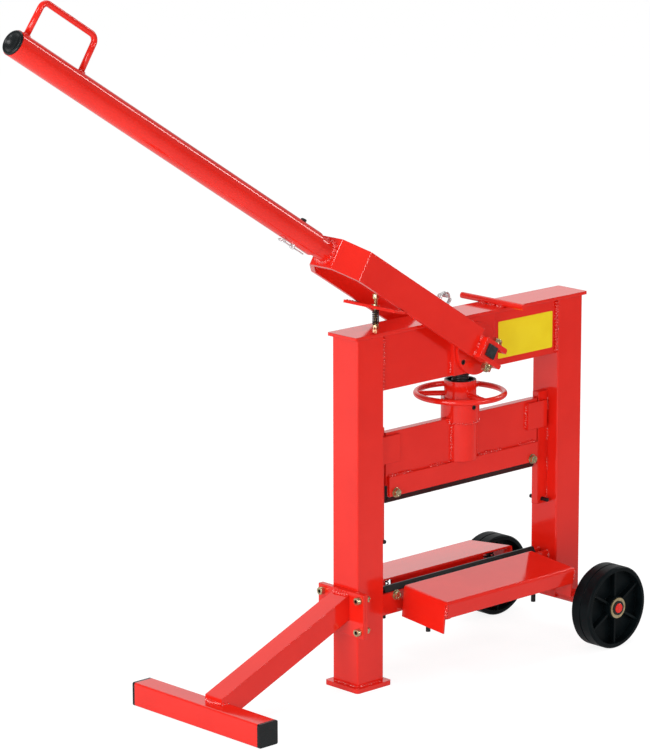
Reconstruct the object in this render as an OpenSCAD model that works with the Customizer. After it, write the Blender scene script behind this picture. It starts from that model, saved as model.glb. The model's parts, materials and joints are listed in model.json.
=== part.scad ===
// Masonry block splitter: two-column frame, eccentric lever, sprung tables, stabiliser foot and wheels.
// Millimetres, +Z up, +X along the blades towards the wheels, -Y is the front.
// The origin is on the ground, midway between the columns. The lever is down and the blades are open.

/* [Frame] */
// Clear width between the two columns
col_gap = 420; // [400:1:460]
// Outer side of a column tube
col_w = 60; // [56:1:66]
// Wall of a column tube
col_wall = 4; // [3:0.5:6]
// Outer corner radius of the column tubes
col_corner = 2.5; // [2:0.5:5]
// Height of the column tops above the ground
col_top = 600; // [590:1:630]
// Bottom of the right column above the ground
right_col_bottom = 66; // [62:1:70]
// Overhang of the base plate round the left column
base_over = 10; // [6:1:16]
// Thickness of the base plate
base_t = 8; // [5:0.5:12]
// Corner radius of the base plate
base_corner = 6; // [3:1:10]
// Thickness of the cap plate
cap_t = 5.5; // [4:0.5:8]
// Overhang of the cap plate past the columns' outer sides
cap_end = 8; // [4:1:14]
// Overhang of the cap plate in front of and behind the columns
cap_side = 4; // [2:0.5:8]
// Corner radius of the cap plate
cap_corner = 3; // [2:0.5:5]

/* [Beam and bearing housing] */
// Height of the beam plates
beam_h = 95; // [92:1:110]
// Thickness of a beam plate
beam_t = 8; // [6:0.5:10]
// Setback of the beam's faces behind the columns' faces
beam_recess = 5; // [4:0.5:6]
// Width of the housing plates
housing_w = 98; // [96:1:110]
// Thickness of a housing plate
housing_t = 8; // [6:0.5:10]
// Lower edge of the housing plates above the beam's lower edge
housing_up = 1; // [0.5:0.5:3]
// Thickness of the side guides inside the housing
guide_t = 5; // [4:0.5:5.5]
// Radius of a bearing flange
flange_r = 45; // [44:1:48]
// Thickness of a bearing flange
flange_t = 6; // [5:0.5:6.5]
// Circle radius of the flange screws
screw_circle_r = 37.5; // [34:0.5:38]
// Number of screws in a flange
screw_count = 3; // [3:1:6]

/* [Eccentric shaft and plunger] */
// Depth of the shaft axis below the column tops
shaft_drop = 53; // [51:0.5:55]
// Journal diameter of the eccentric shaft
journal_d = 29.8; // [29.6:0.1:29.9]
// Eccentricity of the shaft's cam
ecc = 10; // [8:0.5:10.5]
// Radius of the cam
ecc_r = 25; // [24.5:0.5:25.5]
// Width of the cam
ecc_w = 30; // [24:1:31]
// Side of the shaft's square ends
square_side = 20.8; // [18:0.2:20.8]
// Overall length of the shaft
shaft_len = 150; // [146:1:160]
// Wall of the plunger above its window
plunger_roof = 8; // [6:0.5:10]
// Wall of the plunger below its window
plunger_floor = 10; // [8:0.5:14]
// Wall of the plunger beside its window
plunger_side = 6.6; // [5:0.2:8]
// Diameter of the threaded spindle
spindle_d = 30; // [26:0.5:34]

/* [Handwheel] */
// Gap between the plunger and the handwheel hub
hub_gap = 16.5; // [16:0.5:24]
// Diameter of the handwheel hub
hub_d = 55; // [52:0.5:56]
// Length of the handwheel hub
hub_len = 70.8; // [66:0.2:76]
// Diameter of the recess in the hub's top
hub_recess_d = 46; // [40:0.5:48]
// Depth of the recess in the hub's top
hub_recess = 18; // [10:1:20]
// Centreline radius of the handwheel's ring
handring_r = 75; // [65:1:90]
// Thickness of the handwheel's ring
handring_d = 10; // [8:0.5:11]
// Thickness of the handwheel's spokes
spoke_d = 9; // [7:0.5:9]
// Depth of the ring's centre below the hub's top
handring_drop = 24; // [22:0.5:25]
// Number of spokes
spoke_count = 3; // [3:1:5]

/* [Blade carrier] */
// Outer diameter of the sleeve that holds the hub
sleeve_d = 66; // [63:0.5:72]
// Length of the sleeve
sleeve_len = 40; // [36:0.5:41]
// Outer diameter of the tube below the sleeve
carrier_tube_d = 58; // [56:0.5:62]
// Bore of the tube below the sleeve
carrier_tube_bore = 46; // [38:0.5:50]
// Diameter of the set screw in the sleeve
set_screw_d = 8; // [6:0.5:8]
// Thickness of the carrier plate and of both blades
plate_t = 14; // [12:0.5:16]
// Height of the carrier plate
carrier_h = 91; // [84:1:96]
// Top of the carrier plate above the sleeve's lower end
carrier_rise = 9; // [5:0.5:14]
// Gap between the carrier plate's ends and the guide rails
carrier_end_gap = 3; // [2:0.5:5]
// Height of the clamp bars
clamp_h = 34; // [30:0.5:38]
// Thickness of the clamp bars
clamp_t = 6; // [5:0.5:8]
// Lap of the clamp bars on the carrier plate
clamp_lap = 15; // [12:0.5:16]
// Height of the upper blade
blade_h = 31.5; // [28:0.5:34]
// Height of the blades' bevels
bevel_h = 9; // [6:0.5:9]
// Width of the blades' edges
edge_w = 3; // [2:0.5:5]
// Width of a guide ear
ear_w = 47; // [42:1:52]
// Height of a guide ear
ear_h = 47; // [40:1:52]
// Thickness of a guide ear
ear_t = 6; // [5:0.5:8]
// Gap between a guide ear and the column
ear_gap = 8; // [4:0.5:10]

/* [Guide rails and lower beam] */
// Depth of a guide rail from the column
rail_depth = 24; // [20:0.5:28]
// Bottom of the guide rails above the ground
rail_bottom = 235.5; // [215:0.5:236]
// Diameter of the rail stop pins
stop_pin_d = 7; // [5:0.5:8]
// Length of the rail stop pins
stop_pin_len = 41; // [36:1:52]
// Bottom of the lower bars above the ground
low_bar_bottom = 113; // [108:1:118]
// Height of the lower bars
low_bar_h = 36; // [32:0.5:40]
// Thickness of the lower bars
low_bar_t = 6; // [5:0.5:8]
// Lower blade's edge above the lower bars
low_blade_rise = 10; // [9.5:0.5:16]
// Gap between the lower blade's ends and the columns
low_blade_gap = 27; // [20:1:36]

/* [Tables] */
// Length of a table
table_len = 314; // [296:1:320]
// Depth of a table
table_depth = 102.5; // [95:0.5:106]
// Fall of a table away from the blade, in degrees
table_tilt = 5.6; // [3:0.1:7]
// Gap between a table and the lower bar
table_gap = 12; // [9:0.5:16]
// Table's inner edge above the lower blade's edge
table_rise = 2; // [0.5:0.5:4]
// Sheet thickness of a table
sheet_t = 3; // [2.5:0.5:4]
// Outer bend radius of a table
bend_r = 5; // [4.5:0.5:7]
// Height of a table's end flanges
end_flange_h = 55.5; // [44:0.5:57]
// Height of a table's outer flange
outer_flange_h = 28; // [18:1:30]
// Diameter of a table's guide pins
pin_d = 8; // [6:0.5:9]
// Distance of the guide pins from the table's ends
pin_inset = 28.5; // [26:0.5:34]
// Distance of the guide pins from the middle plane
pin_y = 54; // [50:0.5:62]
// Height of the guide pins' tips above the ground
pin_tip = 81; // [78:1:90]
// Width of a table support
support_w = 30; // [24:1:34]
// Thickness of a table support
support_t = 6; // [5:0.5:8]
// Reach of a table support from the middle plane
support_reach = 103; // [96:1:108]
// Outer diameter of a table spring
spring_d = 19; // [16:0.5:20]
// Wire of a table spring
spring_wire = 2.4; // [1.6:0.1:2.6]
// Turns of a table spring
spring_turns = 6; // [4:1:6]

/* [Stabiliser foot] */
// Width of the bolted plates
foot_plate_w = 108; // [100:1:120]
// Height of the bolted plates
foot_plate_h = 76; // [70:1:84]
// Bottom of the bolted plates above the ground
foot_plate_bottom = 98; // [92:1:104]
// Thickness of each bolted plate
foot_plate_t = 5; // [4:0.5:8]
// Distance of the bolts from the middle plane
foot_bolt_y = 44; // [42:0.5:46]
// Distance of the bolts from the plates' upper and lower edges
foot_bolt_edge = 11; // [9:0.5:14]
// Side of the strut tube
strut_side = 40; // [34:1:44]
// Wall of the strut and crossbar tubes
strut_wall = 3; // [2:0.5:4]
// Slope of the strut, in degrees
strut_slope = 22.4; // [21:0.1:23]
// Upper edge of the strut below the plates' tops
strut_drop = 6; // [4:0.5:9]
// Side of the crossbar tube
crossbar_side = 40; // [36:1:42]
// Length of the crossbar with its caps
crossbar_len = 310; // [260:1:420]
// Distance of the crossbar's axis from the middle of the frame
crossbar_x = 568; // [560:1:572]
// Shift of the crossbar towards the rear
crossbar_shift = 20; // [0:1:30]
// Length of an end cap outside the tube
end_cap_t = 5; // [3:0.5:8]

/* [Wheels] */
// Radius of a wheel
wheel_r = 72.5; // [71:0.5:75]
// Width of a wheel
wheel_w = 42; // [36:1:48]
// Inner face of a wheel from the middle plane
wheel_y = 119.5; // [118:0.5:130]
// Radius of the wheel's side face at the tread's edge
wheel_face_r = 70; // [67:0.5:70.5]
// Inner radius of the wheel's rim
wheel_rim_r = 64.5; // [56:0.5:65]
// Radius of the wheel's hub
wheel_hub_r = 19.5; // [18:0.5:24]
// Thickness of the wheel's web
wheel_web = 10; // [6:0.5:16]
// Number of ribs on each side
rib_count = 6; // [4:1:8]
// Thickness of a rib
rib_t = 4; // [3:0.5:7]
// Diameter of the axle inside the wheels
axle_d = 21; // [16:0.5:21.5]
// Diameter of the axle between the wheels
axle_mid_d = 24; // [22.5:0.5:25]

/* [Lever] */
// Slope of the lever when it is down, in degrees
lever_slope = 32.2; // [30:0.1:34]
// Outer half-width of the yoke
yoke_y = 57; // [56:0.5:60]
// Plate thickness of the yoke
yoke_t = 8; // [6:0.5:9]
// Width of the yoke's plate
yoke_w = 52; // [48:0.5:54]
// Lower edge of the yoke below the shaft axis, across the lever
yoke_drop = 21; // [20:0.5:22]
// Distance of the yoke's bends from the shaft
yoke_bend = 332; // [320:1:345]
// Distance of the yoke's nose from the shaft
nose_s = 372; // [366:1:390]
// Half-width of the yoke's nose
nose_half = 25; // [22:0.5:30]
// Outer radius of the yoke's bends
yoke_round = 8; // [4:1:12]
// Plate thickness of the saddles
saddle_t = 8.5; // [6:0.5:9]
// Reach of the saddles past the shaft
saddle_reach = 37; // [34:0.5:38]
// Inner side of a saddle from the middle plane
saddle_y = 45; // [42:0.5:47]
// Width of a saddle along the shaft
saddle_w = 26; // [22:0.5:28]
// Diameter of a saddle's clamp bolt
saddle_bolt_d = 10; // [8:0.5:11]
// Outer diameter of the lever tube
tube_d = 42; // [40:0.5:44]
// Wall of the lever tube
tube_wall = 2.8; // [2:0.1:3]
// Offset of the lever tube's axis across the lever
tube_m = 5; // [4:0.5:6]
// Start of the lever tube from the shaft
tube_start = 405; // [400:1:415]
// End of the lever tube from the shaft
tube_end = 1123; // [1060:1:1200]
// Diameter of the stub that carries the lever tube
stub_d = 36; // [32:0.5:36]
// End of the stub from the shaft
stub_end = 480; // [470:1:520]
// Place of the lock pin from the shaft
lock_s = 445; // [438:1:455]
// Diameter of the lock pin
lock_d = 8; // [6:0.5:9]
// Rod of the stirrup handle
stirrup_d = 10; // [8:0.5:12]
// Distance of the stirrup's upper foot from the lever tube's end
stirrup_inset = 16; // [10:1:24]
// Length of the stirrup between its feet
stirrup_len = 122; // [100:1:124]
// Height of the stirrup's bar above the lever tube's axis
stirrup_h = 77; // [60:1:90]
// Bend radius of the stirrup
stirrup_bend = 16; // [12:1:20]

/* [Buffer and stops] */
// Place of the buffer bolt from the middle of the frame
buffer_x = 200; // [190:1:215]
// Slope of the tab plate, in degrees
tab_slope = 13; // [10:0.5:16]
// Length of the tab plate
tab_len = 26; // [24:0.5:30]
// Width of the tab plate
tab_w = 120; // [116:1:130]
// Thickness of the tab plate
tab_t = 5; // [4:0.5:6]
// Thread diameter of the bolts
bolt_d = 8; // [7:0.5:8]
// Width across flats of the bolt heads and nuts
hex_af = 13; // [12:0.5:14]
// Diameter of the buffer bolt
buffer_bolt_d = 6; // [5:0.5:6.5]
// Width across flats of the buffer bolt's head and nut
buffer_af = 10; // [9:0.5:11]
// Buffer bolt's head above the cap plate
buffer_head_up = 50.2; // [50:0.2:56]
// Outer diameter of the buffer spring
buffer_spring_d = 11.5; // [10.5:0.5:12]
// Wire of the buffer spring
buffer_wire = 1.7; // [1.2:0.1:1.8]
// Turns of the buffer spring
buffer_turns = 7; // [4:1:7]
// Place of the lever stop rod from the middle of the frame
stop_x = 78; // [70:1:84]
// Diameter of the lever stop rod
stop_d = 11; // [10:0.5:12]
// Length of the lever stop rod
stop_len = 147; // [124:1:160]
// Rod of the ring hook
hook_d = 6.5; // [5.5:0.5:7]
// Height of the hook's arm above the cap plate
hook_up = 28.1; // [26:0.1:30]
// Wire of the split ring
ring_wire = 3; // [2.4:0.1:3]
// Inner diameter of the split ring
ring_id = 16.5; // [15:0.5:18]

/* [Hidden] */
$fn = 64;

// Finishes as photographed
red = "#e1372d";
black = "#232626";
zinc = "#c9ae63";
silver = "#c6cacf";
steel = "#8d9196";

// Overrun of cuts, radial gap of running fits, gap of seats and gap round bolts
over = 1;
run_gap = 0.05;
seat_gap = 0.05;
bolt_gap = 0.2;
// Block that stands for a half-space in long cuts
cut_block = col_top;

// Fasteners
head_h = 5.3;
nut_h = 6.5;
bolt_tail = 2;
washer_d = 17;
washer_t = 1.6;
socket_head_d = 13;
socket_head_h = 8;
socket_af = 6;
socket_depth = 4;

// Places along the blades
col_x = (col_gap + col_w) / 2;
col_face = col_gap / 2 + col_w;
rail_face = col_gap / 2 - rail_depth;

// Beam, housing and shaft
beam_y = col_w / 2 - beam_recess;
beam_inner = beam_y - beam_t;
beam_bottom = col_top - beam_h;
housing_y = beam_y + housing_t;
flange_y = housing_y + flange_t;
cap_top = col_top + cap_t;
shaft_z = col_top - shaft_drop;
screw_head_d = 9;
screw_head_t = 4;
screw_d = 6;
screw_len = 11;
screw_first = 270;
screw_socket_share = 0.66;

// Lever's free swing, from resting to touching the stop rod
stop_gap = 0.5;
stop_up = cap_top + stop_d / 2 + seat_gap - shaft_z;
stop_dir = atan2(stop_up, stop_x);
yoke_top = yoke_w - yoke_drop;
stop_turn = asin((yoke_top + stop_d / 2 + stop_gap) / norm([stop_x, stop_up]));
lever_swing = 180 - lever_slope - stop_dir - stop_turn;
ecc_dir = 180 + lever_swing / 2;
ecc_z = shaft_z + ecc * sin(ecc_dir);

// Plunger and spindle
plunger_gap_x = 0.4;
plunger_gap_y = 0.3;
window_gap = 0.6;
window_side_gap = 2;
plunger_y = beam_inner - plunger_gap_y;
window_h = ecc_r + window_gap;
window_x = ecc + ecc_r + window_side_gap;
plunger_x = window_x + plunger_side;
guide_x = plunger_x + plunger_gap_x;
plunger_bottom = ecc_z - window_h - plunger_floor;
plunger_top = ecc_z + window_h + plunger_roof;

// Handwheel and blade carrier, downwards from the plunger
hub_seat = 0.2;
hub_top = plunger_bottom - hub_gap;
step_z = hub_top - hub_len - hub_seat;
handring_z = hub_top - handring_drop;
spoke_first = 20;
groove_w = 9;
groove_depth = 3;
sleeve_bore = hub_d + 2 * run_gap;
set_screw_share = 0.67;
set_screw_z = step_z + sleeve_len * set_screw_share;
set_screw_proud = 0.6;
carrier_top = step_z + carrier_rise;
carrier_bottom = carrier_top - carrier_h;
carrier_len = 2 * (rail_face - carrier_end_gap);
clamp_inset = 3;
clamp_top = carrier_bottom + clamp_lap;
clamp_bottom = clamp_top - clamp_h;
clamp_y = plate_t / 2 + clamp_t;
clamp_len = carrier_len - 2 * clamp_inset;
blade_inset = 1;
blade_len = clamp_len - 2 * blade_inset;
blade_bolt_inset = 15;
blade_bolt_x = clamp_len / 2 - blade_bolt_inset;
blade_bolt_up = 6;
spindle_gap = 2;
spindle_bottom = clamp_top + spindle_gap;
ear_drop = 5;
ear_top = carrier_top - ear_drop;
ear_x = col_gap / 2 - ear_gap;

// Guide rails and lower beam
guide_gap = 0.4;
rail_w = plate_t - 2 * guide_gap;
rail_over = 15;
rail_top = ear_top + rail_over;
stop_pin_up = 8;
low_bar_y = plate_t / 2 + low_bar_t;
low_bar_top = low_bar_bottom + low_bar_h;
low_blade_up = 7;
low_blade_top = low_bar_top + low_blade_rise;
low_blade_len = col_gap - 2 * low_blade_gap;
low_bolt_inset = 19;
low_bolt_x = low_blade_len / 2 - low_bolt_inset;
low_bolt_drop = 5;

// Tables and their springs
table_y = low_bar_y + table_gap;
table_z = low_blade_top + table_rise;
pin_x = table_len / 2 - pin_inset;
support_top = low_bar_bottom + support_t;
collar_d = 14;
collar_t = 4;
collar_gap = 0.3;
spring_seat = 0.2;
corner_cut = 4;
stiffener_t = 4;
stiffener_h = 22;
stiffener_gap = 7;
stiffener_len = 2 * (pin_x - spring_d / 2 - stiffener_gap);
spring_r = (spring_d - spring_wire) / 2;
spring_low = support_top + spring_seat;
spring_high = table_z - sheet_t / cos(table_tilt) - spring_seat
    - (pin_y + spring_d / 2 - table_y) * tan(table_tilt);

// Stabiliser foot
flange_face = col_face + foot_plate_t;
plate_face = flange_face + foot_plate_t;
foot_plate_z = foot_plate_bottom + foot_plate_h / 2;
foot_bolt_z = foot_plate_h / 2 - foot_bolt_edge;
strut_top = foot_plate_bottom + foot_plate_h - strut_drop;
strut_long = (crossbar_x - col_x) / cos(strut_slope);
strut_land = 17;
strut_end = crossbar_x - crossbar_side / 2 + strut_land;
crossbar_inner = crossbar_x - crossbar_side / 2;
crossbar_corner = 3;
plug_gap = 0.2;
cap_plug = 16;

// Wheels
axle_x = col_gap / 2 + col_wall + axle_mid_d / 2 + 2 * seat_gap;
wheel_mid = wheel_y + wheel_w / 2;
tread_step = 3;
tread_groove_w = 3;
tread_groove = 1.2;
rib_first = 30;
rib_recess = 5;
axle_washer_d = 36;
axle_washer_t = 2;
axle_gap = 0.3;
axle_clip_d = 25;
axle_clip_t = 1.6;
axle_tail = 3;
washer_out = wheel_y + wheel_w + axle_gap;
clip_out = washer_out + axle_washer_t + seat_gap;
axle_half = clip_out + axle_clip_t + axle_tail;
washer_in = wheel_y - axle_gap - axle_washer_t;

// Lever
saddle_fit = 0.05;
saddle_half = square_side / 2 + saddle_fit;
saddle_outer = saddle_half + saddle_t;
saddle_corner = 4;
yoke_start = saddle_outer;
yoke_inner = yoke_y - yoke_t;
fold = atan2(yoke_y - nose_half, nose_s - yoke_bend);
inner_bend = yoke_bend - yoke_t * tan(fold / 2);
inner_nose = nose_half - yoke_t * tan((90 - fold) / 2);
bend_steps = 6;
saddle_bolt_gap = 3;
saddle_bolt_s = saddle_half + saddle_bolt_gap + saddle_bolt_d / 2;
saddle_af = 16;
saddle_head_h = 7;
saddle_nut_h = 8;
saddle_washer_d = 20;
saddle_washer_t = 2.5;
stirrup_s = tube_end - stirrup_inset - stirrup_len;
lock_gap = 0.15;
lock_head_d = 10;
lock_head_h = 4;
lock_tail = 7;
clip_wire = 2.5;
clip_back = 28;
clip_fore = 20;
clip_drop = 4;
clip_ring_r = 6;
plug_flange_t = 5;
plug_len = 25;

// Tab plate and buffer, where the arms' lower edges pass
tab_land = 10;
tab_x = buffer_x - tab_land;
tab_s = (tab_x - yoke_drop * sin(lever_slope)) / cos(lever_slope);
tab_z = shaft_z + tab_s * sin(lever_slope) - yoke_drop * cos(lever_slope) - seat_gap;
buffer_gap = 0.3;
buffer_washer_d = 14;
buffer_head_h = 8;
buffer_seat = 0.1;
buffer_spring_r = (buffer_spring_d - buffer_wire) / 2;
buffer_low = cap_top + buffer_seat + nut_h + buffer_seat;
buffer_high = tab_z - tab_t / cos(tab_slope) - buffer_seat
    + (tab_land - buffer_spring_d / 2) * tan(tab_slope);

// Ring hook and split ring
hook_x = -23.3;
hook_y = 30;
hook_reach = 22;
hook_bend = 7;
hook_z = cap_top + hook_up;
ring_share = 0.68;
ring_y = hook_y - hook_reach * ring_share;
ring_seat = 0.3;
ring_turns = 2;
ring_pitch_gap = 0.8;
ring_r = (ring_id + ring_wire) / 2;
ring_long = ring_turns * (ring_wire + ring_pitch_gap);
ring_z = hook_z + hook_d / 2 + ring_seat - ring_id / 2;

// Wound wire: rings for each turn and sides of the wire
turn_rings = 8;
wire_sides = 6;

function unit(v) = v / norm(v);
function turn_point(r, i) = [r * cos(360 * i / turn_rings), r * sin(360 * i / turn_rings), 0];
function coil_path(r, low, high, turns, lead) =
    let (last = turns * turn_rings, climb = (high - low - 2 * lead) / last)
    concat(
        lead > 0 ? [turn_point(r, 0) + [0, 0, low]] : [],
        [for (i = [0 : last]) turn_point(r, i) + [0, 0, low + lead + climb * i]],
        lead > 0 ? [turn_point(r, last) + [0, 0, high]] : []
    );
function wire_ring(path, i, wire) =
    let (
        along = unit(path[min(i + 1, len(path) - 1)] - path[max(i - 1, 0)]),
        outward = unit([path[i].x, path[i].y, 0]),
        side = unit(cross(along, outward)),
        out = cross(side, along)
    )
    [for (k = [0 : wire_sides - 1])
        path[i] + wire / 2 * (out * cos(360 * k / wire_sides) + side * sin(360 * k / wire_sides))];
function least_gap(path, wire) =
    min([for (i = [0 : len(path) - 1]) for (j = [i + turn_rings / 2 : 1 : len(path) - 1])
        norm(path[i] - path[j])]) - wire;

module wire_coil(path, wire) {
    count = len(path);
    points = [for (i = [0 : count - 1]) each wire_ring(path, i, wire)];
    sides = [for (i = [0 : count - 2]) for (k = [0 : wire_sides - 1])
        let (a = i * wire_sides + k, b = i * wire_sides + (k + 1) % wire_sides)
        each [[a, b, a + wire_sides], [b, b + wire_sides, a + wire_sides]]];
    first = [for (k = [1 : wire_sides - 2]) [0, k + 1, k]];
    last = [for (k = [1 : wire_sides - 2])
        [(count - 1) * wire_sides, (count - 1) * wire_sides + k, (count - 1) * wire_sides + k + 1]];
    polyhedron(points, concat(sides, first, last));
}

table_coil = coil_path(spring_r, spring_low, spring_high, spring_turns, spring_wire);
buffer_coil = coil_path(buffer_spring_r, buffer_low, buffer_high, buffer_turns, buffer_wire);
ring_coil = coil_path(ring_r, 0, ring_long, ring_turns, 0);
echo(table_spring_gap = least_gap(table_coil, spring_wire));
echo(buffer_spring_gap = least_gap(buffer_coil, buffer_wire));
echo(split_ring_gap = least_gap(ring_coil, ring_wire));
echo(lever_swing = lever_swing);

// Shared shapes
module soft_rect(w, d, r) {
    square([w - 2 * r, d], center = true);
    square([w, d - 2 * r], center = true);
    for (sx = [-1, 1]) for (sy = [-1, 1])
        translate([sx * (w / 2 - r), sy * (d / 2 - r)]) circle(r);
}

module box_tube(side, h, wall, r) {
    linear_extrude(h) difference() {
        soft_rect(side, side, r);
        square(side - 2 * wall, center = true);
    }
}

module rod_x(d, x0, x1) translate([x0, 0, 0]) rotate([0, 90, 0]) cylinder(d = d, h = x1 - x0);
module rod_y(d, y0, y1) translate([0, y0, 0]) rotate([-90, 0, 0]) cylinder(d = d, h = y1 - y0);
module rod_z(d, z0, z1) translate([0, 0, z0]) cylinder(d = d, h = z1 - z0);
module hexagon(af, h) cylinder(d = af / cos(30), h = h, $fn = 6);
module hex_x(af, x0, x1) translate([x0, 0, 0]) rotate([0, 90, 0]) hexagon(af, x1 - x0);
module hex_y(af, y0, y1) translate([0, y0, 0]) rotate([-90, 0, 0]) hexagon(af, y1 - y0);
module hex_z(af, z0, z1) translate([0, 0, z0]) hexagon(af, z1 - z0);
module span(x0, x1, y0, y1, z0, z1) translate([x0, y0, z0]) cube([x1 - x0, y1 - y0, z1 - z0]);

module blade_bolt(half) {
    rod_y(bolt_d, -half - washer_t, half + washer_t + nut_h + bolt_tail);
    rod_y(washer_d, -half - washer_t, -half);
    rod_y(washer_d, half, half + washer_t);
    hex_y(hex_af, -half - washer_t - head_h, -half - washer_t);
    hex_y(hex_af, half + washer_t, half + washer_t + nut_h);
}

module shaft_bore(y0, y1) translate([0, 0, shaft_z])
    rod_y(journal_d + 2 * run_gap, y0 - over, y1 + over);

// Lever coordinates: x runs from the shaft towards the handle and z across the lever
module lever_frame() translate([0, 0, shaft_z]) rotate([0, lever_slope, 0]) mirror([1, 0, 0])
    children();

// Frame
module left_column() color(red)
    translate([-col_x, 0, base_t]) box_tube(col_w, col_top - base_t, col_wall, col_corner);

module right_column() color(red) translate([col_x, 0, 0]) difference() {
    translate([0, 0, right_col_bottom])
        box_tube(col_w, col_top - right_col_bottom, col_wall, col_corner);
    translate([axle_x - col_x, 0, wheel_r]) rod_y(axle_mid_d + 2 * seat_gap, -col_w, col_w);
}

module base_plate() color(red) translate([-col_x, 0, 0])
    linear_extrude(base_t) soft_rect(col_w + 2 * base_over, col_w + 2 * base_over, base_corner);

module cap_plate() color(red) translate([0, 0, col_top])
    linear_extrude(cap_t) soft_rect(2 * (col_face + cap_end), col_w + 2 * cap_side, cap_corner);

module beam_plate() difference() {
    span(-col_gap / 2, col_gap / 2, -beam_y, -beam_inner, beam_bottom, col_top);
    shaft_bore(-beam_y, -beam_inner);
}

module beam_front_plate() color(red) beam_plate();
module beam_rear_plate() color(red) mirror([0, 1, 0]) beam_plate();

module housing_plates() color(red) for (face = [0, 1]) mirror([0, face, 0]) {
    difference() {
        span(-housing_w / 2, housing_w / 2, -housing_y, -beam_y, beam_bottom + housing_up, col_top);
        shaft_bore(-housing_y, -beam_y);
        flange_screw_places() rod_y(screw_d + 2 * seat_gap, -housing_y - over, -beam_y + over);
    }
    mirror([face, 0, 0])
        span(guide_x, guide_x + guide_t, -beam_inner, beam_inner, beam_bottom, col_top);
}

module flange_screw_places() for (i = [0 : screw_count - 1])
    translate([0, 0, shaft_z]) rotate([0, screw_first + 360 * i / screw_count, 0])
        translate([screw_circle_r, 0, 0]) children();

module bearing_flanges() color(red) for (face = [0, 1]) mirror([0, face, 0]) difference() {
    translate([0, 0, shaft_z]) rod_y(2 * flange_r, -flange_y, -housing_y);
    shaft_bore(-flange_y, -housing_y);
    flange_screw_places() {
        rod_y(screw_d + 2 * seat_gap, -flange_y - over, -housing_y + over);
        rod_y(screw_head_d + 2 * seat_gap, -flange_y - over, -flange_y + screw_head_t);
    }
}

module flange_screw() difference() {
    union() {
        rod_y(screw_head_d, -flange_y, -flange_y + screw_head_t - seat_gap);
        rod_y(screw_d, -flange_y, -flange_y + screw_len);
    }
    hex_y(screw_d * screw_socket_share, -flange_y - over, -flange_y + screw_head_t / 2);
}

module flange_screws() color(black) for (face = [0, 1]) mirror([0, face, 0])
    flange_screw_places() flange_screw();

module lever_stop_rod() color(red)
    translate([stop_x, 0, shaft_z + stop_up]) rod_y(stop_d, -stop_len / 2, stop_len / 2);

module ring_hook() color(silver) translate([hook_x, hook_y, 0]) mirror([0, 1, 0]) {
    rod_z(hook_d, cap_top, hook_z - hook_bend);
    translate([0, hook_bend, hook_z - hook_bend]) rotate([90, 0, -90])
        rotate_extrude(angle = 90) translate([hook_bend, 0]) circle(d = hook_d);
    translate([0, 0, hook_z]) rod_y(hook_d, hook_bend, hook_reach);
}

module guide_rails() color(red) for (side = [0, 1]) mirror([side, 0, 0]) difference() {
    span(rail_face, col_gap / 2, -rail_w / 2, rail_w / 2, rail_bottom, rail_top);
    translate([(rail_face + col_gap / 2) / 2, 0, rail_bottom + stop_pin_up])
        rod_y(stop_pin_d + 2 * seat_gap, -rail_w, rail_w);
}

module rail_stop_pins() color(black) for (side = [-1, 1])
    translate([side * (rail_face + col_gap / 2) / 2, 0, rail_bottom + stop_pin_up])
        rod_y(stop_pin_d, -stop_pin_len / 2, stop_pin_len / 2);

module lower_bolt_places() for (side = [-1, 1])
    translate([side * low_bolt_x, 0, low_bar_top - low_bolt_drop]) children();

module lower_bars() color(red) difference() {
    for (face = [0, 1]) mirror([0, face, 0])
        span(-col_gap / 2, col_gap / 2, -low_bar_y, -plate_t / 2, low_bar_bottom, low_bar_top);
    lower_bolt_places() rod_y(bolt_d + 2 * bolt_gap, -low_bar_y - over, low_bar_y + over);
}

// Blade section with its bevelled edge upwards
module blade_section(h) polygon([
    [-plate_t / 2, 0], [plate_t / 2, 0], [plate_t / 2, h - bevel_h],
    [edge_w / 2, h], [-edge_w / 2, h], [-plate_t / 2, h - bevel_h]
]);

module lower_blade() color(black) difference() {
    translate([-low_blade_len / 2, 0, low_bar_bottom + low_blade_up]) rotate([90, 0, 90])
        linear_extrude(low_blade_len) blade_section(low_blade_top - low_bar_bottom - low_blade_up);
    lower_bolt_places() rod_y(bolt_d + 2 * bolt_gap, -plate_t, plate_t);
}

module lower_blade_bolts() color(zinc) lower_bolt_places() blade_bolt(low_bar_y);

module pin_places() for (side = [-1, 1]) translate([side * pin_x, -pin_y, 0]) children();

module table_supports() color(red) for (face = [0, 1]) mirror([0, face, 0]) difference() {
    for (side = [-1, 1]) translate([side * pin_x, 0, low_bar_bottom]) linear_extrude(support_t) {
        translate([-support_w / 2, -support_reach + support_w / 2])
            square([support_w, support_reach - support_w / 2 - low_bar_y]);
        translate([0, -support_reach + support_w / 2]) circle(d = support_w);
    }
    pin_places() rod_z(pin_d + 2 * run_gap, low_bar_bottom - over, support_top + over);
}

module table_springs() pin_places() wire_coil(table_coil, spring_wire);
module front_table_springs() color(black) table_springs();
module rear_table_springs() color(black) mirror([0, 1, 0]) table_springs();

// Stabiliser foot
module foot_bolt_places() for (sy = [-1, 1]) for (sz = [-1, 1])
    translate([0, sy * foot_bolt_y, foot_plate_z + sz * foot_bolt_z]) children();

module foot_plate(x) difference() {
    span(-x - foot_plate_t, -x, -foot_plate_w / 2, foot_plate_w / 2,
        foot_plate_bottom, foot_plate_bottom + foot_plate_h);
    foot_bolt_places() rod_x(bolt_d + 2 * bolt_gap, -x - foot_plate_t - over, -x + over);
}

module column_flange() color(red) foot_plate(col_face);
module strut_plate() color(red) foot_plate(flange_face);

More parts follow.
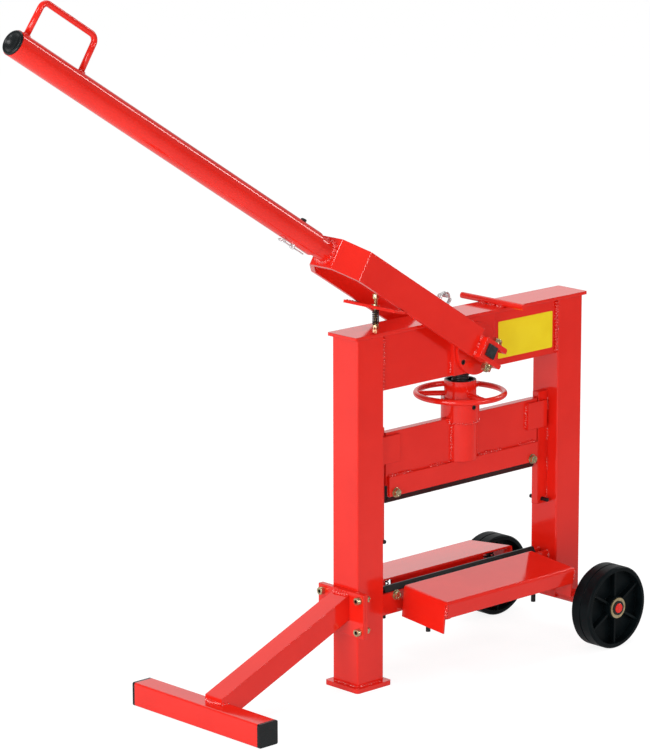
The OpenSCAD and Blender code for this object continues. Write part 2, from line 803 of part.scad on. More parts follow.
module outrigger_bolts() color(zinc) foot_bolt_places() difference() {
    union() {
        rod_x(socket_head_d, -plate_face - socket_head_h, -plate_face);
        rod_x(bolt_d, -plate_face, -col_face + nut_h + bolt_tail);
        hex_x(hex_af, -col_face, -col_face + nut_h);
    }
    hex_x(socket_af, -plate_face - socket_head_h - over, -plate_face - socket_head_h + socket_depth);
}

module strut_box(inset) translate([-plate_face, 0, strut_top]) rotate([0, -strut_slope, 0])
    span(-strut_long, strut_side, inset - strut_side / 2, strut_side / 2 - inset,
        inset - strut_side, -inset);

module strut() color(red) difference() {
    strut_box(0);
    intersection() {
        strut_box(strut_wall);
        span(-crossbar_inner, cut_block, -cut_block, cut_block, -cut_block, cut_block);
    }
    span(-plate_face, cut_block, -cut_block, cut_block, -cut_block, cut_block);
    span(-crossbar_x - cut_block, -crossbar_inner, -cut_block, cut_block, -cut_block, crossbar_side);
    span(-crossbar_x - cut_block, -strut_end, -cut_block, cut_block, -cut_block, cut_block);
}

module crossbar() color(red)
    translate([-crossbar_x, crossbar_shift - crossbar_len / 2 + end_cap_t, crossbar_side / 2])
        rotate([-90, 0, 0])
            box_tube(crossbar_side, crossbar_len - 2 * end_cap_t, strut_wall, crossbar_corner);

module crossbar_caps() color(black) translate([-crossbar_x, crossbar_shift, crossbar_side / 2])
    for (face = [0, 1]) mirror([0, face, 0]) translate([0, crossbar_len / 2, 0]) rotate([90, 0, 0]) {
        linear_extrude(end_cap_t) soft_rect(crossbar_side, crossbar_side, crossbar_corner);
        linear_extrude(end_cap_t + cap_plug)
            square(crossbar_side - 2 * (strut_wall + plug_gap), center = true);
    }

// Wheels
module axle() color(red) translate([axle_x, 0, wheel_r]) {
    rod_y(axle_d, -axle_half, axle_half);
    rod_y(axle_mid_d, -washer_in, washer_in);
}

module axle_ring(d, y, t) translate([axle_x, 0, wheel_r])
    for (face = [0, 1]) mirror([0, face, 0]) difference() {
        rod_y(d, y, y + t);
        rod_y(axle_d + 2 * seat_gap, y - over, y + t + over);
    }

module axle_washers() color(zinc) {
    axle_ring(axle_washer_d, washer_out, axle_washer_t);
    axle_ring(axle_washer_d, washer_in, axle_washer_t);
}

module axle_clips() color(black) axle_ring(axle_clip_d, clip_out, axle_clip_t);

// Half of the wheel's section: radius and distance from its middle plane
wheel_half_section = [
    [wheel_r - tread_groove, tread_groove_w / 2], [wheel_r, tread_groove_w / 2],
    [wheel_r, wheel_w / 2 - tread_step], [wheel_face_r, wheel_w / 2], [wheel_rim_r, wheel_w / 2],
    [wheel_rim_r, wheel_web / 2], [wheel_hub_r, wheel_web / 2], [wheel_hub_r, wheel_w / 2],
    [axle_d / 2 + run_gap, wheel_w / 2]
];
wheel_ends = len(wheel_half_section) - 1;

module wheel(side) color(black) translate([axle_x, side * wheel_mid, wheel_r]) rotate([90, 0, 0]) {
    rotate_extrude() polygon(concat(
        wheel_half_section,
        [for (i = [wheel_ends : -1 : 0]) [wheel_half_section[i].x, -wheel_half_section[i].y]]
    ));
    for (i = [0 : rib_count - 1]) rotate(rib_first + 360 * i / rib_count)
        span(wheel_hub_r - over, wheel_rim_r + over, -rib_t / 2, rib_t / 2,
            rib_recess - wheel_w / 2, wheel_w / 2 - rib_recess);
}

module wheel_front() wheel(-1);
module wheel_rear() wheel(1);

// Lever
module lock_hole() translate([lock_s, 0, 0])
    rod_z(lock_d + 2 * lock_gap, tube_m - tube_d, tube_m + tube_d);

module lever_tube() color(red) lever_frame() difference() {
    translate([0, 0, tube_m]) rod_x(tube_d, tube_start, tube_end);
    translate([0, 0, tube_m]) rod_x(tube_d - 2 * tube_wall, tube_start - over, tube_end + over);
    lock_hole();
}

module lever_end_plug() color(black) lever_frame() translate([0, 0, tube_m]) {
    rod_x(tube_d, tube_end, tube_end + plug_flange_t);
    rod_x(tube_d - 2 * (tube_wall + plug_gap), tube_end - plug_len, tube_end + plug_flange_t);
}

module lever_stub() color(red) lever_frame() difference() {
    translate([0, 0, tube_m]) rod_x(stub_d, nose_s, stub_end);
    lock_hole();
}

module stirrup_elbow() translate([stirrup_len / 2 - stirrup_bend, 0, stirrup_h - stirrup_bend])
    rotate([90, 0, 0]) rotate_extrude(angle = 90) translate([stirrup_bend, 0]) circle(d = stirrup_d);

module stirrup_rod() {
    for (side = [0, 1]) mirror([side, 0, 0]) {
        translate([stirrup_len / 2, 0, 0]) rod_z(stirrup_d, 0, stirrup_h - stirrup_bend);
        stirrup_elbow();
    }
    translate([0, 0, stirrup_h])
        rod_x(stirrup_d, stirrup_bend - stirrup_len / 2, stirrup_len / 2 - stirrup_bend);
}

module stirrup_handle() color(red) lever_frame()
    translate([stirrup_s + stirrup_len / 2, 0, tube_m]) difference() {
        stirrup_rod();
        rod_x(tube_d + 2 * seat_gap, -stirrup_len, stirrup_len);
    }

// Arc that rounds the corner p, whose neighbours are a and b
function bend_arc(p, a, b, r) =
    let (
        u = unit(a - p),
        v = unit(b - p),
        half = acos(u * v) / 2,
        sweep = 180 - 2 * half,
        centre = p + unit(u + v) * r / sin(half),
        first = unit(p + u * r / tan(half) - centre),
        last = unit(p + v * r / tan(half) - centre)
    )
    [for (i = [0 : bend_steps]) let (turn = sweep * i / bend_steps)
        centre + r * (first * sin(sweep - turn) + last * sin(turn)) / sin(sweep)];

yoke_side = concat(
    [[yoke_start, yoke_y]],
    bend_arc([yoke_bend, yoke_y], [yoke_start, yoke_y], [nose_s, nose_half], yoke_round),
    bend_arc([nose_s, nose_half], [yoke_bend, yoke_y], [nose_s, -nose_half], yoke_round)
);

module yoke() color(red) lever_frame() translate([0, 0, -yoke_drop]) linear_extrude(yoke_w) difference() {
    polygon(concat(yoke_side, [for (i = [len(yoke_side) - 1 : -1 : 0]) [yoke_side[i].x, -yoke_side[i].y]]));
    polygon([
        [yoke_start - over, yoke_inner], [inner_bend, yoke_inner], [nose_s - yoke_t, inner_nose],
        [nose_s - yoke_t, -inner_nose], [inner_bend, -yoke_inner], [yoke_start - over, -yoke_inner]
    ]);
}

module saddle_bolt_places() for (face = [0, 1]) mirror([0, face, 0])
    translate([-saddle_bolt_s, saddle_y + saddle_w / 2, 0]) children();

module saddle_section() difference() {
    translate([(saddle_outer - saddle_reach) / 2, 0])
        soft_rect(saddle_outer + saddle_reach, 2 * saddle_outer, saddle_corner);
    translate([-saddle_reach - over, -saddle_half])
        square([saddle_reach + saddle_half + over, 2 * saddle_half]);
}

module saddles() color(red) lever_frame() difference() {
    for (face = [0, 1]) mirror([0, face, 0]) translate([0, saddle_y + saddle_w, 0])
        rotate([90, 0, 0]) linear_extrude(saddle_w) saddle_section();
    saddle_bolt_places() rod_z(saddle_bolt_d + 2 * bolt_gap, -saddle_outer - over, saddle_outer + over);
}

module saddle_bolts() color(zinc) lever_frame() saddle_bolt_places() {
    rod_z(saddle_bolt_d, -saddle_outer - saddle_washer_t - saddle_nut_h - bolt_tail, saddle_outer);
    rod_z(saddle_washer_d, saddle_outer, saddle_outer + saddle_washer_t);
    hex_z(saddle_af, saddle_outer + saddle_washer_t, saddle_outer + saddle_washer_t + saddle_head_h);
    rod_z(saddle_washer_d, -saddle_outer - saddle_washer_t, -saddle_outer);
    hex_z(saddle_af, -saddle_outer - saddle_washer_t - saddle_nut_h, -saddle_outer - saddle_washer_t);
}

module eccentric_shaft() color(steel) {
    translate([0, 0, shaft_z]) rod_y(journal_d, -flange_y, flange_y);
    translate([ecc * cos(ecc_dir), 0, ecc_z]) rod_y(2 * ecc_r, -ecc_w / 2, ecc_w / 2);
    lever_frame() cube([square_side, shaft_len, square_side], center = true);
}

module lock_pin() color(black) lever_frame() translate([lock_s, 0, tube_m]) difference() {
    union() {
        rod_z(lock_d, -tube_d / 2 - lock_tail, tube_d / 2 + seat_gap);
        rod_z(lock_head_d, tube_d / 2 + seat_gap, tube_d / 2 + seat_gap + lock_head_h);
    }
    translate([0, 0, -tube_d / 2 - clip_drop]) rod_x(clip_wire + 2 * seat_gap, -lock_d, lock_d);
}

module lock_clip() color(silver) lever_frame() translate([lock_s, 0, tube_m - tube_d / 2 - clip_drop]) {
    rod_x(clip_wire, -clip_back, clip_fore);
    translate([clip_fore + clip_ring_r, 0, 0])
        rotate_extrude() translate([clip_ring_r, 0]) circle(d = clip_wire);
}

// Buffer under the yoke
module tab_frame() translate([-tab_x, 0, tab_z]) rotate([0, tab_slope, 0]) children();

module tab_plate() color(red) difference() {
    tab_frame() span(-tab_len, 0, -tab_w / 2, tab_w / 2, -tab_t, 0);
    translate([-buffer_x, 0, 0]) rod_z(buffer_bolt_d + 2 * buffer_gap, cap_top, cap_top + cut_block);
}

module buffer_washer() color(zinc) difference() {
    tab_frame() translate([-tab_land / cos(tab_slope), 0, 0])
        cylinder(d = buffer_washer_d, h = washer_t);
    translate([-buffer_x, 0, 0]) rod_z(buffer_bolt_d + 2 * buffer_gap, cap_top, cap_top + cut_block);
}

module buffer_spring() color(black) translate([-buffer_x, 0, 0]) wire_coil(buffer_coil, buffer_wire);

module buffer_bolt() color(zinc) translate([-buffer_x, 0, cap_top]) {
    rod_z(buffer_bolt_d, buffer_seat, buffer_head_up);
    hex_z(buffer_af, buffer_seat, buffer_seat + nut_h);
    hex_z(buffer_af, buffer_head_up, buffer_head_up + buffer_head_h);
}

// Plunger and spindle
module plunger() color(steel) difference() {
    span(-plunger_x, plunger_x, -plunger_y, plunger_y, plunger_bottom, plunger_top);
    span(-window_x, window_x, -plunger_y - over, plunger_y + over, ecc_z - window_h, ecc_z + window_h);
}

module spindle() color(steel) rod_z(spindle_d, spindle_bottom, plunger_bottom);

// Blade carrier
module upper_bolt_places() for (side = [-1, 1])
    translate([side * blade_bolt_x, 0, clamp_bottom + blade_bolt_up]) children();

module carrier_plate() color(red) difference() {
    span(-carrier_len / 2, carrier_len / 2, -plate_t / 2, plate_t / 2, carrier_bottom, carrier_top);
    rod_z(carrier_tube_d + 2 * seat_gap, clamp_top, carrier_top + over);
    rod_z(sleeve_d + 2 * seat_gap, step_z, carrier_top + over);
}

module clamp_bars() color(red) difference() {
    for (face = [0, 1]) mirror([0, face, 0])
        span(-clamp_len / 2, clamp_len / 2, -clamp_y, -plate_t / 2, clamp_bottom, clamp_top);
    upper_bolt_places() rod_y(bolt_d + 2 * bolt_gap, -clamp_y - over, clamp_y + over);
}

module guide_ears() color(red)
    for (side = [0, 1]) for (face = [0, 1]) mirror([side, 0, 0]) mirror([0, face, 0])
        span(ear_x - ear_w, ear_x, plate_t / 2, plate_t / 2 + ear_t, ear_top - ear_h, ear_top);

module upper_blade() color(black) difference() {
    translate([-blade_len / 2, 0, carrier_bottom]) rotate([90, 0, 90]) mirror([0, 1, 0])
        linear_extrude(blade_len) blade_section(blade_h);
    upper_bolt_places() rod_y(bolt_d + 2 * bolt_gap, -plate_t, plate_t);
}

module upper_blade_bolts() color(zinc) upper_bolt_places() blade_bolt(clamp_y);

module carrier_tube() color(red) difference() {
    rotate_extrude() polygon([
        [carrier_tube_bore / 2, clamp_top], [carrier_tube_d / 2, clamp_top], [carrier_tube_d / 2, step_z],
        [sleeve_d / 2, step_z], [sleeve_d / 2, step_z + sleeve_len], [sleeve_bore / 2, step_z + sleeve_len],
        [sleeve_bore / 2, step_z], [carrier_tube_bore / 2, step_z]
    ]);
    translate([0, 0, set_screw_z]) rod_y(set_screw_d + 2 * seat_gap, -sleeve_d, 0);
}

module set_screw() color(black) translate([0, 0, set_screw_z]) difference() {
    rod_y(set_screw_d, -sleeve_d / 2 - set_screw_proud, groove_depth - hub_d / 2 - hub_seat);
    hex_y(set_screw_d / 2, -sleeve_d, -sleeve_d / 2 + socket_depth / 2);
}

module handwheel() color(red) {
    difference() {
        rod_z(hub_d, step_z + hub_seat, hub_top);
        rod_z(spindle_d + 2 * run_gap, step_z, hub_top + over);
        rod_z(hub_recess_d, hub_top - hub_recess, hub_top + over);
        difference() {
            rod_z(hub_d + over, set_screw_z - groove_w / 2, set_screw_z + groove_w / 2);
            rod_z(hub_d - 2 * groove_depth, set_screw_z - groove_w, set_screw_z + groove_w);
        }
    }
    translate([0, 0, handring_z]) {
        rotate_extrude() translate([handring_r, 0]) circle(d = handring_d);
        for (i = [0 : spoke_count - 1]) rotate(spoke_first + 360 * i / spoke_count)
            rod_x(spoke_d, hub_d / 2 - over, handring_r);
    }
}

// Tables
module table_frame() translate([0, -table_y, table_z]) rotate([table_tilt, 0, 0]) children();

module table_outline(inset) translate([0, -end_flange_h]) difference() {
    soft_rect(table_len - 2 * inset, 2 * (end_flange_h - inset), bend_r - inset);
    translate([-table_len, -2 * end_flange_h]) square([2 * table_len, 2 * end_flange_h]);
}

module table() table_frame() difference() {
    rotate([90, 0, 0]) {
        linear_extrude(table_depth) difference() {
            table_outline(0);
            table_inside();
        }
        translate([0, 0, table_depth - sheet_t]) linear_extrude(sheet_t) intersection() {
            table_outline(0);
            translate([-table_len / 2, -outer_flange_h]) square([table_len, outer_flange_h]);
        }
        translate([-stiffener_len / 2, -stiffener_h, pin_y - table_y - stiffener_t / 2])
            cube([stiffener_len, stiffener_h - sheet_t / 2, stiffener_t]);
    }
    for (side = [-1, 1]) translate([side * table_len / 2, -table_depth, -end_flange_h - bend_r])
        cube([2 * corner_cut, 2 * corner_cut, 2 * end_flange_h], center = true);
    translate([-table_len, -table_depth, -bend_r]) rotate([90, 0, 90]) linear_extrude(2 * table_len)
        difference() {
            translate([-over, 0]) square([bend_r + over, bend_r + over]);
            translate([bend_r, 0]) circle(bend_r);
            translate([bend_r, -over]) square([bend_r, bend_r + over]);
        }
}

module table_inside() translate([0, -end_flange_h - over / 2])
    soft_rect(table_len - 2 * sheet_t, 2 * (end_flange_h - sheet_t) + over, bend_r - sheet_t);

module table_pins() difference() {
    pin_places() {
        rod_z(pin_d, pin_tip, table_z);
        rod_z(collar_d, low_bar_bottom - collar_gap - collar_t, low_bar_bottom - collar_gap);
    }
    table_frame() span(-table_len, table_len, -table_len, table_len, -sheet_t - seat_gap, table_len);
}

module front_table() color(red) table();
module front_table_pins() color(black) table_pins();
module rear_table() color(red) mirror([0, 1, 0]) table();
module rear_table_pins() color(black) mirror([0, 1, 0]) table_pins();

module split_ring() color(silver) translate([hook_x, ring_y + ring_long / 2, ring_z])
    rotate([90, 0, 0]) wire_coil(ring_coil, ring_wire);

left_column();
right_column();
base_plate();
cap_plate();
beam_front_plate();
beam_rear_plate();
housing_plates();
bearing_flanges();
flange_screws();
lever_stop_rod();
ring_hook();
guide_rails();
rail_stop_pins();
lower_bars();
lower_blade();
lower_blade_bolts();
table_supports();
front_table_springs();
rear_table_springs();
column_flange();
strut_plate();
strut();
crossbar();
crossbar_caps();
outrigger_bolts();
axle();
axle_washers();
axle_clips();
lever_tube();
lever_end_plug();
stirrup_handle();
lever_stub();
yoke();
tab_plate();
saddles();
saddle_bolts();
eccentric_shaft();
lock_pin();
lock_clip();
buffer_washer();
buffer_spring();
buffer_bolt();
plunger();
spindle();
carrier_plate();
clamp_bars();
guide_ears();
upper_blade();
upper_blade_bolts();
carrier_tube();
set_screw();
handwheel();
front_table();
front_table_pins();
rear_table();
rear_table_pins();
wheel_front();
wheel_rear();
split_ring();
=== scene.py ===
import json
import bpy
import numpy as np
from mathutils import Matrix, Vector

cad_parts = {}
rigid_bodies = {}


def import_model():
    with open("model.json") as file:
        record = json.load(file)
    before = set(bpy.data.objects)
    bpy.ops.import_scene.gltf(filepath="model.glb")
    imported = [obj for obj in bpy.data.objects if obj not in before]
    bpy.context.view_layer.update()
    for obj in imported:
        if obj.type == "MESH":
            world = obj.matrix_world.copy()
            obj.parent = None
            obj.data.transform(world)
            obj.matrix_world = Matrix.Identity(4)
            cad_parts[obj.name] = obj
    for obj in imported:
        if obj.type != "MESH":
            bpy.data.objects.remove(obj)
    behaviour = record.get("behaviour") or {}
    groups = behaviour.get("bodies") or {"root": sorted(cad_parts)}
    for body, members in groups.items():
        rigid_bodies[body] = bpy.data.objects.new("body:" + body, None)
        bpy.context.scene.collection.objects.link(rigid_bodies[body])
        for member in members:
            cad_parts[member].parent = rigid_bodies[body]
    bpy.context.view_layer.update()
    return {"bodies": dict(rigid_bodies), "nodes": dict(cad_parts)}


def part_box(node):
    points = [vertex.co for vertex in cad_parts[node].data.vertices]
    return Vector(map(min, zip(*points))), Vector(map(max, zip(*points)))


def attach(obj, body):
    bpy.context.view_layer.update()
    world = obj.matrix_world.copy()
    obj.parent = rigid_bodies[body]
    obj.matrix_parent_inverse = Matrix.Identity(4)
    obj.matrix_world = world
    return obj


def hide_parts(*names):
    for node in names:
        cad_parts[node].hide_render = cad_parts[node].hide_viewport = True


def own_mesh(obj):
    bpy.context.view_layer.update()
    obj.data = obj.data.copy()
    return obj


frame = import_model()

nodes = frame["nodes"]
ownObjects = set(nodes.values()) | set(frame["bodies"].values())
for leftOver in [item for item in bpy.data.objects if item not in ownObjects]:
    bpy.data.objects.remove(leftOver)
scene = bpy.context.scene
scene.view_settings.view_transform = "Standard"
mm = 0.001
xWay, yWay, zWay = np.eye(3)
signs = (-1, 1)
corners = [(hand, face) for hand in signs for face in signs]  # hand along X, face along Y
print("stage 1: frame loaded,", len(nodes), "nodes")

# camera, solved from the photograph's vanishing lines
viewPoint = dict(place=(-4.2991, -4.2215, 1.8736), yaw=43.342, pitch=12.894, roll=-0.138,
                 focalPixels=3646.25, imageHigh=750, sensor=36.0, clipEnd=200.0)


def standing(right, up, back, place):  # the matrix of something with these axes at this place
    turn = np.eye(4)
    turn[:3] = np.stack([right, up, back, place], 1)
    return Matrix(turn.tolist())


def aimCamera(spec):  # axes from yaw and pitch, then turned by the small roll
    yaw, pitch, roll = np.radians([spec["yaw"], spec["pitch"], spec["roll"]])
    ahead = np.array([np.cos(pitch) * np.sin(yaw), np.cos(pitch) * np.cos(yaw), -np.sin(pitch)])
    level = np.array([np.cos(yaw), -np.sin(yaw), 0.0])
    rise = np.cross(level, ahead)
    right = np.cos(roll) * level + np.sin(roll) * rise
    up = np.cos(roll) * rise - np.sin(roll) * level
    lens = bpy.data.cameras.new("photoCamera")
    lens.sensor_fit = "VERTICAL"
    lens.sensor_height = spec["sensor"]
    lens.lens = spec["sensor"] * spec["focalPixels"] / spec["imageHigh"]
    lens.clip_end = spec["clipEnd"]
    eye = bpy.data.objects.new("photoCamera", lens)
    eye.matrix_world = standing(right, up, -ahead, spec["place"])
    scene.collection.objects.link(eye)
    scene.camera = eye


aimCamera(viewPoint)

# finishes, with what they all share first
finishShape = dict(ior=1.5, specular=0.5, coatRough=0.1, cloudDetail=4.0, skinDetail=3.0, stops=(0.35, 0.65),
                   glossFrom=(0.3, 0.7), bumpDepth=0.0002, edgeSamples=6)


def link(tree, source, outName, target, inName):
    tree.links.new(source.outputs[outName], target.inputs[inName])


def setInputs(node, values):
    for name, value in values.items():
        node.inputs[name].default_value = value


def fadeNode(tree, source, outName, start, stop):  # straight run between two (place, strength), held flat outside
    node = tree.nodes.new("ShaderNodeMapRange")
    setInputs(node, dict(zip(("From Min", "To Min", "From Max", "To Max"), (*start, *stop))))
    link(tree, source, outName, node, "Value")
    return node


def makeFinish(name, spec):  # noise on Object coordinates gives cloudy colour, uneven gloss and a fine skin
    material = bpy.data.materials.new(name)
    material.use_nodes = True
    tree = material.node_tree
    shader = tree.nodes["Principled BSDF"]
    setInputs(shader, {"Metallic": spec.get("metallic", 0.0), "IOR": finishShape["ior"],
                       "Specular IOR Level": spec.get("specular", finishShape["specular"]),
                       "Coat Weight": spec.get("coat", 0.0),
                       "Coat Roughness": spec.get("coatRough", finishShape["coatRough"])})
    place = tree.nodes.new("ShaderNodeTexCoord")
    cloud = tree.nodes.new("ShaderNodeTexNoise")
    setInputs(cloud, {"Scale": spec["cloud"], "Detail": finishShape["cloudDetail"]})
    link(tree, place, "Object", cloud, "Vector")
    ramp = tree.nodes.new("ShaderNodeValToRGB")
    low, high = ramp.color_ramp.elements
    low.position, high.position = finishShape["stops"]
    low.color, high.color = (*spec["tones"][0], 1.0), (*spec["tones"][1], 1.0)
    link(tree, cloud, "Fac", ramp, "Fac")
    link(tree, ramp, "Color", shader, "Base Color")
    gloss = fadeNode(tree, cloud, "Fac", *zip(finishShape["glossFrom"], spec["rough"]))
    link(tree, gloss, "Result", shader, "Roughness")
    skin = tree.nodes.new("ShaderNodeTexNoise")
    setInputs(skin, {"Scale": spec["skin"], "Detail": finishShape["skinDetail"]})
    link(tree, place, "Object", skin, "Vector")
    bump = tree.nodes.new("ShaderNodeBump")
    setInputs(bump, {"Strength": spec["bump"], "Distance": finishShape["bumpDepth"]})
    link(tree, skin, "Fac", bump, "Height")
    if spec.get("edge"):  # softened edges; left out on round pieces
        edge = tree.nodes.new("ShaderNodeBevel")
        edge.samples = finishShape["edgeSamples"]
        edge.inputs["Radius"].default_value = spec["edge"]
        link(tree, edge, "Normal", bump, "Normal")
    link(tree, bump, "Normal", shader, "Normal")
    return material


redCoat = dict(tones=((0.80, 0.015, 0.007), (0.87, 0.019, 0.009)), rough=(0.08, 0.13), cloud=9.0, skin=260.0,
               bump=0.012)
finishSpecs = dict(
    redPowderCoat=dict(redCoat, edge=0.0018),
    roundRed=redCoat,
    weldedRed=dict(tones=((0.76, 0.014, 0.007), (0.86, 0.019, 0.009)), rough=(0.06, 0.12), cloud=120.0,
                   skin=900.0, bump=0.05, specular=0.9, coat=0.5, coatRough=0.05),
    blackenedSteel=dict(tones=((0.0045, 0.005, 0.0055), (0.011, 0.0115, 0.012)), rough=(0.32, 0.48), cloud=70.0,
                        skin=700.0, bump=0.12, specular=0.35, edge=0.0008),
    wheelPlastic=dict(tones=((0.002, 0.0042, 0.0052), (0.004, 0.0075, 0.009)), rough=(0.36, 0.50), cloud=40.0,
                      skin=900.0, bump=0.05, specular=0.10, edge=0.0012),
    plugPlastic=dict(tones=((0.004, 0.006, 0.007), (0.007, 0.009, 0.010)), rough=(0.22, 0.30), cloud=60.0,
                     skin=600.0, bump=0.005, specular=0.3),
    yellowZinc=dict(tones=((0.46, 0.35, 0.18), (0.66, 0.55, 0.35)), rough=(0.10, 0.20), cloud=160.0,
                    skin=1500.0, bump=0.02, metallic=0.9),
    brightZinc=dict(tones=((0.66, 0.67, 0.68), (0.80, 0.81, 0.82)), rough=(0.22, 0.34), cloud=140.0,
                    skin=1500.0, bump=0.03, metallic=0.6),
    oiledSteel=dict(tones=((0.030, 0.031, 0.033), (0.060, 0.062, 0.065)), rough=(0.26, 0.42), cloud=80.0,
                    skin=900.0, bump=0.1, metallic=0.6, edge=0.0008),
    springSteel=dict(tones=((0.008, 0.008, 0.009), (0.022, 0.022, 0.024)), rough=(0.25, 0.38), cloud=200.0,
                     skin=1500.0, bump=0.06, metallic=0.4),
    yellowPlate=dict(tones=((0.95, 0.69, 0.006), (0.99, 0.74, 0.010)), rough=(0.28, 0.36), cloud=25.0,
                     skin=900.0, bump=0.03, specular=0.25, edge=0.0003))
finishes = {name: makeFinish(name, spec) for name, spec in finishSpecs.items()}
finishOfNodes = {
    "blackenedSteel": ["flange_screws", "rail_stop_pins", "lower_blade", "upper_blade", "front_table_pins",
                       "rear_table_pins", "set_screw", "axle_clips", "lock_pin"],
    "plugPlastic": ["crossbar_caps", "lever_end_plug"],
    "wheelPlastic": ["wheel_front", "wheel_rear"],
    "yellowZinc": ["lower_blade_bolts", "upper_blade_bolts", "outrigger_bolts", "axle_washers", "saddle_bolts",
                   "buffer_washer", "buffer_bolt"],
    "brightZinc": ["lock_clip", "split_ring", "ring_hook"],
    "roundRed": ["handwheel", "lever_stub", "lever_stop_rod"],
    "oiledSteel": ["eccentric_shaft", "plunger", "spindle"],
    "springSteel": ["front_table_springs", "rear_table_springs", "buffer_spring"],
}
nodeFinish = {node: name for name, group in finishOfNodes.items() for node in group}
for node, item in nodes.items():
    coat = finishes[nodeFinish.get(node, "redPowderCoat")]
    for place in item.material_slots:
        place.material = coat
print("stage 2: finishes on", len(nodes), "nodes")


# surfaces
def unit(v):
    return v / np.linalg.norm(v, axis=-1, keepdims=True)


def ringFaces(rows, cols, start, loop):  # a four-sided face for each cell, and flat ends unless the rings close up
    i, j = np.meshgrid(np.arange(rows if loop else rows - 1), np.arange(cols), indexing="ij")
    n, k = (i + 1) % rows, (j + 1) % cols
    cells = np.stack([i * cols + j, n * cols + j, n * cols + k, i * cols + k], -1).reshape(-1, 4) + start
    if loop:
        return cells.tolist()
    first = (np.arange(cols) + start).tolist()
    last = (np.arange(cols)[::-1] + (rows - 1) * cols + start).tolist()
    return cells.tolist() + [first, last]


def pathAxes(path, lean):  # at each point, the way towards lean and the way across, both square to the path
    along = unit(np.gradient(path, axis=0))
    out = unit(lean - (lean * along).sum(1, keepdims=True) * along)
    return out, np.cross(along, out)


def sweep(path, lean, wide, tall, sides):  # an ellipse, wide across and tall towards lean, carried along the path
    out, across = pathAxes(path, lean)
    turn = np.linspace(0, 2 * np.pi, sides, endpoint=False)[None, :, None]
    wide, tall = (np.broadcast_to(w, len(path))[:, None, None] for w in (wide, tall))
    return path[:, None] + wide * np.cos(turn) * across[:, None] + tall * np.sin(turn) * out[:, None]


def around(along, radius, origin, axis, side):  # rings of the given radii at the given places along an axis
    turn = np.linspace(0, 2 * np.pi, radius.shape[1], endpoint=False)[:, None]
    axis, side = unit(np.array(axis, float)), unit(np.array(side, float))
    spokes = np.cos(turn) * side + np.sin(turn) * np.cross(side, axis)  # this order keeps the faces outwards
    return np.array(origin, float) + along[:, None, None] * axis + radius[..., None] * spokes[None]


def turned(profile, origin, axis, side, flats=None, sides=48):  # rows (along, radius) swept round
    along, radius = np.array(profile, float).T
    radius = np.repeat(radius[:, None], sides, 1)
    if flats is not None:  # cut to a hexagon: half the flats over the cosine of the angle from the flat's middle
        sixth = np.pi / 3
        turn = np.linspace(0, 2 * np.pi, sides, endpoint=False)
        across = np.broadcast_to(flats, len(along))[:, None]
        radius = np.minimum(radius, across / 2 / np.cos((turn % sixth) - sixth / 2))
    return around(along, radius, origin, axis, side)


def ringRows(spec):  # a square section between two radii, closed on itself
    return [(spec["start"], spec["inner"]), (spec["start"], spec["outer"]), (spec["end"], spec["outer"]),
            (spec["end"], spec["inner"]), (spec["start"], spec["inner"])]


def makePiece(name, grids, body, finish, replaces=(), smooth=True, crease=None):
    points, faces, start = [], [], 0
    for grid in grids:  # each grid of rings, in mm, becomes one closed skin
        loop = np.allclose(grid[0], grid[-1])
        grid = grid[:-1] if loop else grid
        rows, cols = grid.shape[:2]
        points.append(grid.reshape(-1, 3) * mm)
        faces += ringFaces(rows, cols, start, loop)
        start += rows * cols
    mesh = bpy.data.meshes.new(name)
    mesh.from_pydata(np.concatenate(points).tolist(), [], faces)
    mesh.polygons.foreach_set("use_smooth", np.array([smooth and len(f) == 4 for f in faces]))
    mesh.materials.append(finishes[finish])
    mesh.update()
    if crease:  # degrees past which an edge stays sharp
        mesh.set_sharp_from_angle(angle=np.radians(crease))
    piece = bpy.data.objects.new(name, mesh)
    scene.collection.objects.link(piece)
    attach(piece, body)
    if replaces:
        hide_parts(*replaces)
    return piece


# lever coordinates: s from the shaft towards the handle, y as the frame's, m across the lever
leverLine = dict(slope=32.2, shaftZ=547.0)
slopeCos, slopeSin = np.cos(np.radians(leverLine["slope"])), np.sin(np.radians(leverLine["slope"]))
leverAlong, leverAcross = np.array([-slopeCos, 0, slopeSin]), np.array([slopeSin, 0, slopeCos])


def leverPoint(s, y, m):  # the shaft's centre, plus s along and m across the lever
    s, y, m = np.broadcast_arrays(*(np.asarray(v, float) for v in (s, y, m)))
    return (leverLine["shaftZ"] * zWay + s[..., None] * leverAlong + m[..., None] * leverAcross
            + y[..., None] * yWay)


# springs: round wire wound on a helix whose end turns lie flat
springShape = dict(flat=0.85, touch=1.05, steps=36, sides=10)  # flat turns at each end, their pitch over the wire
tableSpring = dict(outer=19.0, wire=2.4, turns=6, low=119.2, high=154.0, x=128.5, y=54.0, press=12.0)
bufferSpring = dict(outer=12.2, wire=2.0, turns=8, low=612.2, high=637.53, x=-200.0, y=0.0, press=8.0)


def springGrid(spec, x, y):  # the angle grows evenly; the height climbs slowly, then evenly, then slowly again
    share = np.linspace(0, 1, spec["turns"] * springShape["steps"] + 1)
    angle = 2 * np.pi * spec["turns"] * share
    flatShare = springShape["flat"] / spec["turns"]
    flatRise = springShape["flat"] * springShape["touch"] * spec["wire"]
    low, high = spec["low"] + spec["wire"] / 2, spec["high"] - spec["wire"] / 2
    mid = (spec["outer"] - spec["wire"]) / 2
    foot = flatRise * np.minimum(share, flatShare) / flatShare
    middle = (high - low - 2 * flatRise) * np.clip((share - flatShare) / (1 - 2 * flatShare), 0, 1)
    head = flatRise * np.maximum(share - 1 + flatShare, 0) / flatShare
    path = np.stack([x + mid * np.cos(angle), y + mid * np.sin(angle), low + foot + middle + head], 1)
    lean = np.stack([np.cos(angle), np.sin(angle), 0 * angle], 1)
    return sweep(path, lean, spec["wire"] / 2, spec["wire"] / 2, springShape["sides"])


